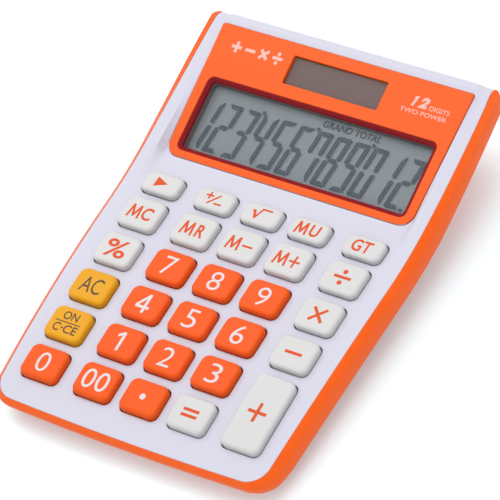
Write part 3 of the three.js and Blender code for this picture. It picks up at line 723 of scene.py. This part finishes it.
def build_reflector_grain():
    """The brushed foil behind the liquid crystal: a fine sparkle and a slow cloud."""
    group, put, get = socket_group(
        "reflector_grain",
        {"Vector": None, "Dark": (0.2, 0.2, 0.2, 1), "Light": (0.3, 0.3, 0.3, 1)}, ("Colour",))
    cloud = maths(group, "MULTIPLY", noise(group, put["Vector"], 28.0), 0.55)
    sparkle = noise(group, put["Vector"], 4200.0, 1.0)
    tone = maths(group, "MULTIPLY_ADD", sparkle, 0.45, cloud)
    feed(group, get, {"Colour": blended(group, tone, put["Dark"], put["Light"])})
    return group


reflector_grain = build_reflector_grain()


def reflector(name, dark, light):
    """A foil-like surface whose colour wanders between two close tones."""
    material = moulded(name, light, 0.5, bump=0.02, edge_wear_and_highlight=0.0)
    skin = place_group(material.node_tree, reflector_grain,
                       {"Dark": (*dark, 1), "Light": (*light, 1)})
    return feed_shader(material, Base_Color=skin["Colour"])


lcd_skin = reflector("reflector_foil", (0.150, 0.172, 0.182), (0.172, 0.198, 0.207))
segment_skin = reflector("dark_segment", (0.026, 0.036, 0.052), (0.032, 0.044, 0.062))
# Painted shadow of the segments: a tone a little darker than the reflector foil.
segment_shadow_paint = reflector("segment_painted_shadow", (0.114, 0.131, 0.144), (0.124, 0.143, 0.155))


def slab(name, half_u, half_s, corner, low, high, middle):
    """A plate in the panel's plane, with round corners and slightly broken edges."""
    ease = 0.12
    marks = [(ease, low), (0, low + ease), (0, high - ease), (ease * 0.3, high - ease * 0.3),
             (ease, high)]
    plate = lofted(marks, lambda pull: rounded_loop(0, middle, half_u - pull, half_s - pull,
                                                    max(corner - pull, 0.1), 8))
    return flatten(make_object(name, plate, from_panel))


lcd_glass = slab("lcd_glass_cell", *glass_half, 0.3, glass_low, glass_top, window_middle)
settle(lcd_glass, lcd_skin, "case", "lcd_grey", "lcd_glass")

digit_pitch, digit_lean, first_digit = 6.61, 0.1525, -37.8
bar_half, bar_apart = 0.74, 1.875
digit_top, digit_middle, digit_bottom = 21.2, 13.4, 4.9
lit_bars = {"0": "abcdef", "1": "bc", "2": "abged", "3": "abgcd", "4": "fgbc", "5": "afgcd",
            "6": "afgedc", "7": "fabc", "8": "abcdefg", "9": "abcdfg"}


def bar_shapes():
    """Outlines of the seven bars of one upright digit: mitred bars with thin gaps between,
    long ones at the sides and short ones across; each lower bar is its upper one turned
    over about the digit's middle or end."""
    t, x, middle = bar_half, bar_apart, digit_middle
    across = x - 0.55
    shapes = {"g": [(-across - 0.35, middle), (-across + 0.35, middle + 0.72),
                    (across - 0.35, middle + 0.72), (across + 0.35, middle),
                    (across - 0.35, middle - 0.72), (-across + 0.35, middle - 0.72)]}
    for side, flip, end, cross in ((1, "bf", digit_top, "a"), (-1, "ce", digit_bottom, "d")):
        upright = [(x + t - 0.25, end - side * 0.1), (x + t, end - side * 0.55),
                   (x + t, middle + side * 0.75), (x + 0.1, middle + side * 0.25),
                   (x - t, middle + side * 0.9), (x - t, end - side * 1.75)]
        shapes[flip[0]] = upright
        shapes[flip[1]] = [(-u, s) for u, s in upright]
        shapes[cross] = [(-x - 0.25, end), (x + 0.25, end), (across - 0.3, end - side * 1.45),
                         (-across + 0.3, end - side * 1.45), (-x + 0.05, end - side * 0.55)]
    return {name: np.array(shape) for name, shape in shapes.items()}


def lean(outline, centre):
    """Slants an upright digit's outline and moves it to its place along the row."""
    u, s = outline.T
    return np.stack([u + centre + digit_lean * (s - digit_middle), s], 1)


bars = bar_shapes()
comma = np.array([(-0.62, 0.62), (0.1, 0.72), (0.62, 0.4), (0.55, -0.25), (0.0, -0.85),
                  (-0.1, -0.2), (-0.55, -0.05)])
# How far the painted segment shadow is set off from the segments.
painted_shadow_shift = (0.62, -0.12)
lit = []
for place, digit in enumerate("123456789012"):
    centre = first_digit + place * digit_pitch
    lit += [lean(bars[bar], centre) for bar in lit_bars[digit]]
    if place in (2, 5, 8):
        lit.append(comma + (centre + digit_pitch / 2 + 1.15, digit_top + 0.05))
lit.append(round_loop(centre + digit_pitch / 2 - 1.35, digit_bottom + 0.35, 0.55, 12))
# The segments, and on the reflector below them their painted shadow: the same shapes, shifted and darker
# than the foil.
for name, shift, low, high, skin in (
        ("lcd_segments", (0, 0), -2.98, -2.94, segment_skin),
        ("lcd_segment_ghosts", painted_shadow_shift, glass_top - 0.02, glass_top + 0.02, segment_shadow_paint)):
    segments = joined([prism(shape + shift, low, high) for shape in lit])
    settle(make_object(name, segments, from_panel), skin, "case", "lcd_grey")


def lettering(name, words, place):
    """Flat lettering as one closed mesh.  Each entry of words is a text, its middle, width
    and height in millimetres, a slant and a boldness; place turns millimetres into metres."""
    solids = []
    for text, middle, width, height, slant, bold in words:
        curve = bpy.data.curves.new("lettering", "FONT")
        curve.body = text
        curve.extrude = 0.5
        curve.offset = bold
        curve.resolution_u = 6
        holder = bpy.data.objects.new("lettering", curve)
        scene.collection.objects.link(holder)
        bpy.context.view_layer.update()
        graph = bpy.context.evaluated_depsgraph_get()
        mesh = bpy.data.meshes.new_from_object(holder.evaluated_get(graph))
        co = np.empty(len(mesh.vertices) * 3)
        mesh.vertices.foreach_get("co", co)
        co = co.reshape(-1, 3)
        low, high = co.min(0)[:2], co.max(0)[:2]
        flat = (co[:, :2] - (low + high) / 2) / (high - low) * (width, height)
        flat[:, 0] += flat[:, 1] * slant
        solids.append((np.column_stack([flat + middle, co[:, 2]]),
                       [list(face.vertices) for face in mesh.polygons]))
        bpy.data.objects.remove(holder)
    made = make_object(name, joined(solids), place)
    made.modifiers.new("weld", "WELD").merge_threshold = 0.000002
    return made


def ink_at(height):
    """Ink a hair thick at a height over the panel's plane."""
    return lambda points: from_panel(points * (1, 1, 0.02) + (0, 0, height))


heading_words = [("GRAND TOTAL", (10.8, 23.55), 20.7, 2.05, 0.12, 0.012)]
settle(lettering("lcd_heading", heading_words, ink_at(-2.96)), segment_skin, "case", "lcd_grey")

# DISPLAY WINDOW.  A dark red frame pressed into the panel's opening, with a bevelled lip
# and a deep inner wall, a near-black wall below it as painted shade for the window's recess, and a clear
# acrylic lens inside it.
frame_wide = 1.35


def ring(marks):
    """A closed band carried round the window: each mark is how far inside the opening's
    edge a line runs and its height; the last line joins the first."""
    loops = []
    for inset, height in marks:
        loop = rounded_loop(0, window_middle, window_half - inset, window_reach - inset,
                            max(window_corner - inset * 0.75, 0.5), 8)
        loops.append(np.column_stack([loop, np.full(len(loop), height)]))
    index = np.arange(len(loops) * len(loop)).reshape(len(loops), -1)
    faces = [walls(low, high) for low, high in zip(index, np.roll(index, -1, 0))]
    return np.vstack(loops), np.vstack(faces)


frame_marks = [(0.03, -1.5), (0.03, 0.16), (0.12, 0.26), (0.3, 0.28), (frame_wide - 0.25, -0.3),
               (frame_wide - 0.08, -0.42), (frame_wide, -0.6), (frame_wide + 0.05, -1.0),
               (frame_wide - 0.4, -1.1), (frame_wide - 0.4, -1.5)]
# The wall below the frame, coloured near-black as painted shade: it stands in for the shade inside the
# window's recess.
shade_wall_marks = [(frame_wide - 0.35, -1.5), (frame_wide + 0.02, -1.15), (frame_wide + 0.2, -2.9),
              (frame_wide + 0.25, -3.05), (frame_wide - 0.35, -3.05)]
dark_red_skin = moulded("dark_red_skin", (0.20, 0.002, 0.006), 0.45, bump=0.05, specular=0.15)
painted_shade_skin = moulded("painted_shade_skin", (0.11, 0.085, 0.085), 0.6, bump=0.05)
settle(smooth(make_object("window_frame_ring", ring(frame_marks), from_panel)), dark_red_skin,
       "case", "dark_red", "window_frame")
settle(smooth(make_object("window_shade_wall_ring", ring(shade_wall_marks), from_panel)), painted_shade_skin, "case",
       "black_resin")


def clear_plastic(name, tint, cover, roughness):
    """Clear plastic seen as a thin glossy film: a plain low alpha, with smudges in the
    gloss from the moulded_skin group."""
    return moulded(name, tint, roughness, bump=0.02, mottle=0.02, marks=0.06, edge_wear_and_highlight=0.0,
                   specular=0.3, Alpha=cover)


lens_inset = frame_wide + 0.1
lens = slab("display_lens_plate", window_half - lens_inset, window_reach - lens_inset, 1.1,
            -2.8, -1.9, window_middle)
settle(lens, clear_plastic("lens_acrylic", (0.3, 0.34, 0.35), 0.02, 0.06), "case",
       "clear_plastic", "display_lens")

# SOLAR CELL.  An amorphous silicon strip on glass, four cells side by side with hairline
# gaps between them, behind a clear window in the panel.
solar_middle, solar_reach, solar_half, solar_cells = 35.5, 4.6, 17.0, 4


def solar_glass(name):
    """Brown-grey cells in a row along X, parted by thin darker lines where a sine of X
    passes through nothing."""
    material = moulded(name, (0.20, 0.15, 0.13), 0.3, bump=0.02, edge_wear_and_highlight=0.0)
    tree = material.node_tree
    across = add_node(tree, "SeparateXYZ", {0: object_point(tree)}).outputs["X"]
    turns = maths(tree, "MULTIPLY", across, math.pi / (2 * solar_half * mm / solar_cells))
    size = maths(tree, "ABSOLUTE", maths(tree, "SINE", turns))
    line = add_node(tree, "MapRange", {"Value": size, "From Min": 0.02, "From Max": 0.05})
    tone = blended(tree, line.outputs["Result"], (0.14, 0.10, 0.09, 1), (0.175, 0.128, 0.115, 1))
    return feed_shader(material, Base_Color=tone)


settle(slab("solar_cell_strip", solar_half - 0.1, solar_reach, 0.3, -3.2, -1.9, solar_middle),
       solar_glass("silicon_strip"), "case", "solar_cell", "solar_cell")
settle(slab("solar_window_plate", solar_half - 0.12, solar_reach - 0.12, 0.5, -1.5, -0.6, solar_middle),
       clear_plastic("smoked_acrylic", (0.178, 0.120, 0.108), 0.6, 0.35), "case",
       "clear_plastic", "solar_window")

# DISPLAY PANEL.  A clear acrylic plate back-printed in orange, so that its sawn edge shows
# pale; it is glued into a seat in the top case, and its legends are screen-printed on top.
panel_length, panel_half, panel_corners = 43.9, (44.2, 45.3), (0.8, 4.5, 4.5, 0.8)
panel_face, panel_back = 0.4, -1.6


def panel_outline(grow):
    """The panel's outline: a rectangle that widens towards its upper edge, its lower
    corners well rounded and its upper ones nearly sharp."""
    radius = np.maximum(np.array(panel_corners)[:, None] + grow, 0.3)
    middle = panel_length / 2
    u, s = rounded_loop(0, middle, panel_half[0] + grow, middle + grow, radius, 10).T
    widening = (panel_half[1] - panel_half[0]) / panel_length
    return np.stack([u + np.sign(u) * widening * s, s], 1)


plate_marks = [(0, panel_back), (0, panel_face - 0.22), (-0.03, panel_face - 0.1),
               (-0.1, panel_face - 0.03), (-0.22, panel_face)]
panel = make_object("display_panel_plate", lofted(plate_marks, panel_outline), from_panel)
opening_marks = [(0, -5), (0, panel_face - 0.12), (0.12, panel_face), (0.12, 3)]
for half_u, half_s, corner, middle in ((window_half, window_reach, window_corner, window_middle),
                                       (solar_half, solar_reach, 0.6, solar_middle)):
    cut(panel, lofted(opening_marks, lambda grow: rounded_loop(
        0, middle, half_u + grow, half_s + grow, corner + grow, 8)), from_panel)
panel_skin = moulded("panel_print", (0.77, 0.092, 0.004), 0.35, bump=0.03, mottle=0.015,
                     marks=0.05, edge_wear_and_highlight=0.0, specular=0.2)
settle(flatten(panel), panel_skin, "case", "panel_orange", "display_panel")
panel.data.materials.append(moulded("acrylic_edge", (0.60, 0.57, 0.64), 0.35, bump=0.1))
panel_up = Vector((0, -math.sin(deck_tilt + panel_tilt), math.cos(deck_tilt + panel_tilt)))
lower_edge = from_panel([(0, 1.2, 0)])[0][1]
for face in panel.data.polygons:
    on_edge = face.center.y < lower_edge and abs(face.normal.dot(panel_up)) < 0.3
    face.material_index = int(on_edge)


def inked(outlines):
    """Flat strokes between heights of -1 and 1 as one set of closed solids, each a hair
    taller than the last, so that strokes that cross never share a face."""
    return joined([prism(shape, -1, 1 + 0.06 * order) for order, shape in enumerate(outlines)])


def bar(u, s, length, thick, turn=0.0):
    """A straight stroke about its middle, turned by an angle."""
    corners = np.array([(-1, 1), (1, 1), (1, -1), (-1, -1)]) * (length / 2, thick / 2)
    cos, sin = math.cos(turn), math.sin(turn)
    return corners @ np.array([[cos, sin], [-sin, cos]]) + (u, s)


def cross(u, s, length, thick, turn=0.0):
    """Two equal strokes square to each other."""
    return [bar(u, s, length, thick, turn), bar(u, s, length, thick, turn - math.pi / 2)]


def run(points, thick):
    """Straight strokes along a row of points, each a little longer than its span."""
    return [bar((a[0] + b[0]) / 2, (a[1] + b[1]) / 2, math.dist(a, b) + thick * 0.35, thick,
                math.atan2(b[1] - a[1], b[0] - a[0])) for a, b in zip(points, points[1:])]


def divide(u, s, length, thick, gap, dot, count):
    """A division sign: a stroke with a dot above and below it."""
    return [bar(u, s, length, thick), round_loop(u, s + gap, dot, count),
            round_loop(u, s - gap, dot, count)]


def ink(name, colour, roughness=0.5, specular=0.2):
    """Printing ink: smoother than the plastic below it, and not worn at its edges."""
    return moulded(name, colour, roughness, bump=0.05, edge_wear_and_highlight=0.0, specular=specular)


pale_ink = ink("pale_ink", (0.70, 0.40, 0.35), 0.4, 0.3)
descriptor = [("2", (31.4, 37.05), 2.9, 3.5, 0.25, 0.06), ("DIGITS", (37.0, 36.0), 7.0, 1.5, 0, 0.008),
              ("TWO POWER", (32.3, 33.75), 16.2, 1.4, 0, 0.008)]
settle(lettering("panel_descriptor", descriptor, ink_at(panel_face)), pale_ink, "case",
       "panel_orange")
sign_stroke, sign_size, sign_line = 1.0, 3.6, 37.6
slanted_one = [(28.0, 35.3), (28.9, 38.8), (27.6, 38.4), (27.4, 37.6), (27.7, 37.7), (27.1, 35.3)]
signs = (cross(-37.0, sign_line, sign_size, sign_stroke)
         + [bar(-32.0, sign_line, sign_size, sign_stroke)]
         + cross(-27.0, sign_line, sign_size * 1.1, sign_stroke, math.pi / 4)
         + divide(-22.0, sign_line, sign_size, sign_stroke, 1.45, 0.62, 20) + [slanted_one])
settle(make_object("panel_mark", inked(signs), ink_at(panel_face)), pale_ink, "case",
       "panel_orange")

# TOP CASE.  The white upper shell, moulded in faintly lavender ABS: an arched key bed with
# an opening for each key, a seat for the display panel, raised cheeks beside it and a
# rounded rear edge.  Six screws from below hold it to the bottom case.
plate_thick, shell_wall, panel_plate, plate_step = 2.0, 1.7, 3.6, 78
column_pitch, side_column = 17.0, 36.4
row_pitch, first_row, small_row = 13.77, 3.2, 69.8
key_half, small_half, key_corner, cap_corner = (6.6, 5.3), 3.7, 1.9, 2.35
hole_clear, lip_round, side_round = 0.22, 0.28, 0.2
key_rows = ["0 00 point equals plus", "on_clear 1 2 3", "ac 4 5 6 minus", "percent 7 8 9 multiply",
            "mc mr m_minus m_plus divide", "backspace sign root mu gt"]
keys = []
for row, names in enumerate(key_rows):
    for column, name in enumerate(names.split()):
        u = (column - 2) * column_pitch
        if column in (0, 4):
            u = math.copysign(side_column, u)
        v = small_row if row == 5 else first_row + row * row_pitch
        half_v = small_half if row == 5 else key_half[1]
        if name == "plus":
            v, half_v = v + row_pitch / 2, half_v + row_pitch / 2
        colour = "amber" if name in ("on_clear", "ac") else "cream"
        if name.isdigit() or name == "point":
            colour = "orange"
        keys.append(("key_" + name, colour, u, v, half_v))


def edge_fall(side_drop, rear_drop):
    """Height of a level of the rounded edge: small drop at the sides, larger at the rear."""
    def height(u, v):
        back = smooth_step(v, rear_edge - 5.5, rear_edge - 2.0)
        return top_height(u, v) - side_drop - (rear_drop - side_drop) * back
    return height


def plate_height(u, v):
    """The inside of the deck: a thin plate under the keys, a thick one under the panel."""
    return deck_height(v) - np.where(v < plate_step, plate_thick, panel_plate)


top_stations = np.concatenate([np.arange(122.5, 90, -2.5), np.arange(90.0, -2, -1.0)])
top_shares = np.linspace(-1, 1, 101)
top_levels = [level(-shell_wall, -shell_wall, plate_height, -shell_wall),
              level(-shell_wall, -shell_wall, above(edge_height, -skirt_depth), -shell_wall),
              level(-seam, -seam, above(edge_height, -skirt_depth), 0)]
for pull, drop in quarter(8):
    inset = -seam - side_round * pull
    top_levels.append(level(inset, inset, edge_fall(side_round * drop, rear_fall * drop),
                            -rear_fall * pull))
top_case = make_object("top_case_shell", deck_solid(top_levels, top_shares, top_stations), from_deck)


def arched_key(key, marks, corner, corner_rate, steps):
    """A solid round a key's middle from (grow, rise) marks: round-cornered rectangles whose
    points follow the arch of the key bed."""
    u, v, half_v = key[2:]
    loops = [rounded_loop(u, v, key_half[0] + grow, half_v + grow,
                          max(corner + grow * corner_rate, 0.5), steps) for grow, _ in marks]
    heights = [lambda outline, rise=rise: arch_height(outline[:, 1]) + rise for _, rise in marks]
    return stack(loops, heights)


opening_marks = [(hole_clear, -4.0), (hole_clear, -lip_round)]
opening_marks += [(hole_clear + lip_round * out, -lip_round * down) for out, down in quarter(5)[1:]]
opening_marks += [(hole_clear + lip_round, 1.0)]
cut(top_case, joined([arched_key(key, opening_marks, key_corner, 1, 6) for key in keys]), from_deck)
cut(top_case, lofted([(0.12, -1.9), (0.12, -0.1), (0.3, 0.15), (0.35, 12)], panel_outline), from_panel)
light_ways = [rounded_loop(0, window_middle, window_half + 1, window_reach, 1),
              rounded_loop(0, solar_middle, solar_half + 1, 5, 0.5)]
cut(top_case, joined([prism(way, -12, 1) for way in light_ways]), from_panel)
white_shell_skin = moulded("white_shell_skin", (0.53, 0.515, 0.585), 0.42, bump=0.15,
                           mottle=0.02, specular=0.3)
settle(smooth(top_case, 32), white_shell_skin, "case", "shell_white", "top_case")

# KEY CAPS.  Solid-coloured ABS caps with straight sides, a soft shoulder and a flat top
# that follows the arch, each on a flange that the top case holds down.
key_proud, shoulder_in, shoulder_drop = 2.1, 1.0, 0.95
flange_out, flange_top, flange_low = 0.9, -2.35, -3.3
cap_marks = [(flange_out - 0.1, flange_low), (flange_out, flange_low + 0.15),
             (flange_out, flange_top), (0, flange_top), (0, key_proud - shoulder_drop)]
cap_marks += [(-shoulder_in * near, key_proud - shoulder_drop * far) for near, far in quarter(8)[1:]]
cap_marks += [(-shoulder_in - 0.25, key_proud), (-shoulder_in - 0.8, key_proud)]
cap_skins = {
    "orange": moulded("orange_cap_skin", (0.74, 0.084, 0.005), 0.42, 0.08, specular=0.15),
    "amber": moulded("amber_cap_skin", (0.66, 0.295, 0.001), 0.42, 0.08, specular=0.2),
    "cream": moulded("cream_cap_skin", (0.55, 0.535, 0.52), 0.42, 0.08, 0.02, specular=0.3),
}
for key in keys:
    name, colour = key[:2]
    cap = flatten(make_object(name + "_cap", arched_key(key, cap_marks, cap_corner, 0.6, 7), from_deck))
    settle(cap, cap_skins[colour], name + "_cap", "key_" + colour, name)

# KEY LEGENDS.  Pad-printed on the caps: white on orange, dark brown on amber and orange on
# the white ones.
inks = {"orange": ink("white_ink", (0.62, 0.53, 0.54), 0.45, 0.5),
        "cream": ink("orange_ink", (0.60, 0.068, 0.006)),
        "amber": ink("brown_ink", (0.085, 0.055, 0.030))}
digit_size, memory_size, stroke, ink_rise = (4.3, 6.3), 4.5, 0.95, 0.018
words_on = {"key_" + digit: [(digit, (0, 0), *digit_size, 0, -0.006)] for digit in "02356789"}
words_on.update({
    "key_00": [("0", (-2.4, 0), 4.15, 6.3, 0, 0), ("0", (2.4, 0), 4.15, 6.3, 0, 0)],
    "key_mc": [("C", (2.3, 0), 3.5, memory_size, 0, 0.022)],
    "key_mr": [("R", (2.6, 0), 2.9, memory_size, 0, 0.022)],
    "key_mu": [("U", (2.35, 0), 3.2, 4.1, 0, 0.024)],
    "key_gt": [("GT", (-0.4, 0), 6.6, 4.2, 0, 0.02)],
    "key_percent": [("%", (0, 0), 7.6, 6.2, 0, 0.014)],
    "key_ac": [("AC", (0, 0), 7.4, 5.3, 0, 0.002)],
    "key_on_clear": [("ON", (0, 2.35), 5.4, 2.7, 0, 0.012), ("C", (-2.9, -1.9), 2.3, 2.8, 0, 0.012),
                     ("CE", (2.1, -1.9), 4.7, 2.8, 0, 0.012)],
})


def drawn_m(u, wide, tall=memory_size):
    """A capital M: two slightly splayed legs and a deep V between them."""
    half = tall / 2
    legs = [(u - wide / 2, -half), (u - wide * 0.36, half - 0.1), (u, -half * 0.75),
            (u + wide * 0.36, half - 0.1), (u + wide / 2, -half)]
    return run(legs, 0.74)


strokes_on = {
    "key_4": run([(0.85, -3.1), (0.85, 3.0)], stroke) + run([(0.75, 2.75), (-2.0, -1.0)], 0.85)
    + run([(-2.2, -1.35), (2.3, -1.35)], 0.9),
    "key_mc": drawn_m(-2.1, 3.7),
    "key_mr": drawn_m(-1.95, 3.7),
    "key_mu": drawn_m(-2.1, 3.5, 4.1),
    "key_1": [bar(0.35, 0, stroke, 6.2), [(-0.1, 3.1), (-1.6, 2.1), (-1.6, 1.15), (-0.1, 2.0)]],
    "key_point": [round_loop(0, 0, 0.98, 32)],
    "key_equals": [bar(0, 0.92, 5.5, stroke), bar(0, -0.92, 5.5, stroke)],
    "key_plus": cross(0, 0, 6.2, stroke),
    "key_minus": [bar(0, 0, 5.8, stroke)],
    "key_multiply": cross(0, 0, 6.4, stroke, math.pi / 4),
    "key_divide": divide(0, 0, 5.8, stroke, 1.95, 0.78, 24),
    "key_m_minus": drawn_m(-2.2, 3.9) + [bar(2.6, -0.1, 3.6, 0.66)],
    "key_m_plus": drawn_m(-2.2, 3.9) + [bar(2.5, -0.1, 3.7, 0.68), bar(2.5, -0.1, 0.68, 4.2)],
    "key_on_clear": [bar(0, 0.15, 9.0, 0.32), round_loop(-0.95, -1.85, 0.32, 12)],
    "key_backspace": [[(-2.2, 1.85), (2.2, 0.1), (-2.2, -1.75)]],
    "key_sign": cross(-2.0, 1.05, 2.6, 0.6) + [bar(1.9, -1.3, 2.7, 0.6), bar(-0.1, 0.05, 4.9, 0.6, 0.86)],
    "key_root": [bar(1.4, 1.85, 3.6, 0.62), bar(-0.75, 0.02, 4.1, 0.62, 1.2),
                 bar(-1.95, -0.35, 2.8, 0.85, -1.15), bar(-2.75, 0.72, 0.9, 0.62, 0.5)],
}


def ink_on_key(middle_u, middle_v, depth):
    """Ink on a cap's top, which follows the arch of the key bed; depth scales its height."""
    def place(points):
        u, v, side = points.T
        w = arch_height(v + middle_v) + key_proud + ink_rise * depth * side
        return from_deck(np.stack([u + middle_u, v + middle_v, w], 1))
    return place


for name, colour, u, v, _ in keys:
    legends = []
    if name in words_on:
        legends.append(lettering(name + "_legend", words_on[name], ink_on_key(u, v, 2)))
    if name in strokes_on:
        legends.append(make_object(name + "_sign", inked(strokes_on[name]), ink_on_key(u, v, 1)))
    for legend in legends:
        settle(legend, inks[colour], name + "_cap", "key_" + colour)

# SCREWS.  Six small self-tapping screws with round heads and cross recesses, driven up
# through the bottom case into the top case's bosses.
head_radius, head_height, shank_radius, screw_length = 1.6, 0.8, 0.75, 4.0
recess_long, recess_short = 0.95, 0.2
screw_profile = [(0.9, 0.0), (1.25, 0.04), (1.48, 0.18), (head_radius, 0.4),
                 (head_radius, head_height), (shank_radius, head_height),
                 (shank_radius, screw_length - 0.8), (0.3, screw_length - 0.05)]
zinc = plated("zinc_plate", (0.60, 0.61, 0.62), 0.28)
for number, (u, v) in enumerate(screw_places, 1):
    base = floor_height(v)
    screw = make_object(f"case_screw_{number}_turned", turned(screw_profile, u, v, base, 36),
                        from_deck)
    for half_u, half_v in ((recess_long, recess_short), (recess_short, recess_long)):
        arm = stack([rounded_loop(u, v, half_u, half_v, 0.1, 2),
                     rounded_loop(u, v, half_u * 0.6, half_v * 0.7, 0.08, 2)],
                    [base - 0.5, base + 0.5])
        cut(screw, arm, from_deck)
    settle(smooth(screw), zinc, "case", "steel", f"case_screw_{number}")

# BATTERY COVER.  An orange slide-off plate flush with the housing's underside, with two
# finger grooves, a moulded arrow and softly broken edges.
grip_half, grip_depth, grip_places, arrow_half = (4.0, 0.6), 0.5, (5.0, 7.4), 2.2
edge_marks = [(0.3, hump_bottom), (0.08, hump_bottom + 0.08), (0.0, hump_bottom + 0.3),
              (0.0, cover_top - 0.15), (0.15, cover_top)]
plate = lofted(edge_marks, lambda pull: rounded_loop(
    0, cover_middle, cover_half - pull, cover_length / 2 - pull, 1.2 - pull * 0.5, 8))
cover = make_object("battery_cover_plate", plate, from_desk)
groove_heights = [hump_bottom - 0.05, hump_bottom + 0.2, hump_bottom + grip_depth]
grooves = [stack([rounded_loop(0, cover_middle + away, grip_half[0] + out_u, grip_half[1] + out_v,
                               corner, 6)
                  for out_u, out_v, corner in ((0.35, 0.25, 0.8), (0, 0, 0.55), (-0.3, -0.3, 0.25))],
                 groove_heights) for away in grip_places]
cut(cover, joined(grooves), from_desk)
arrow = [(-arrow_half, cover_middle - 1.2), (0, cover_middle + 2.4), (arrow_half, cover_middle - 1.2)]
cut(cover, prism(arrow, hump_bottom - 0.1, hump_bottom + 0.25), from_desk)
settle(smooth(cover, 32), orange_shell_skin, "battery_cover", "shell_orange", "battery_cover")
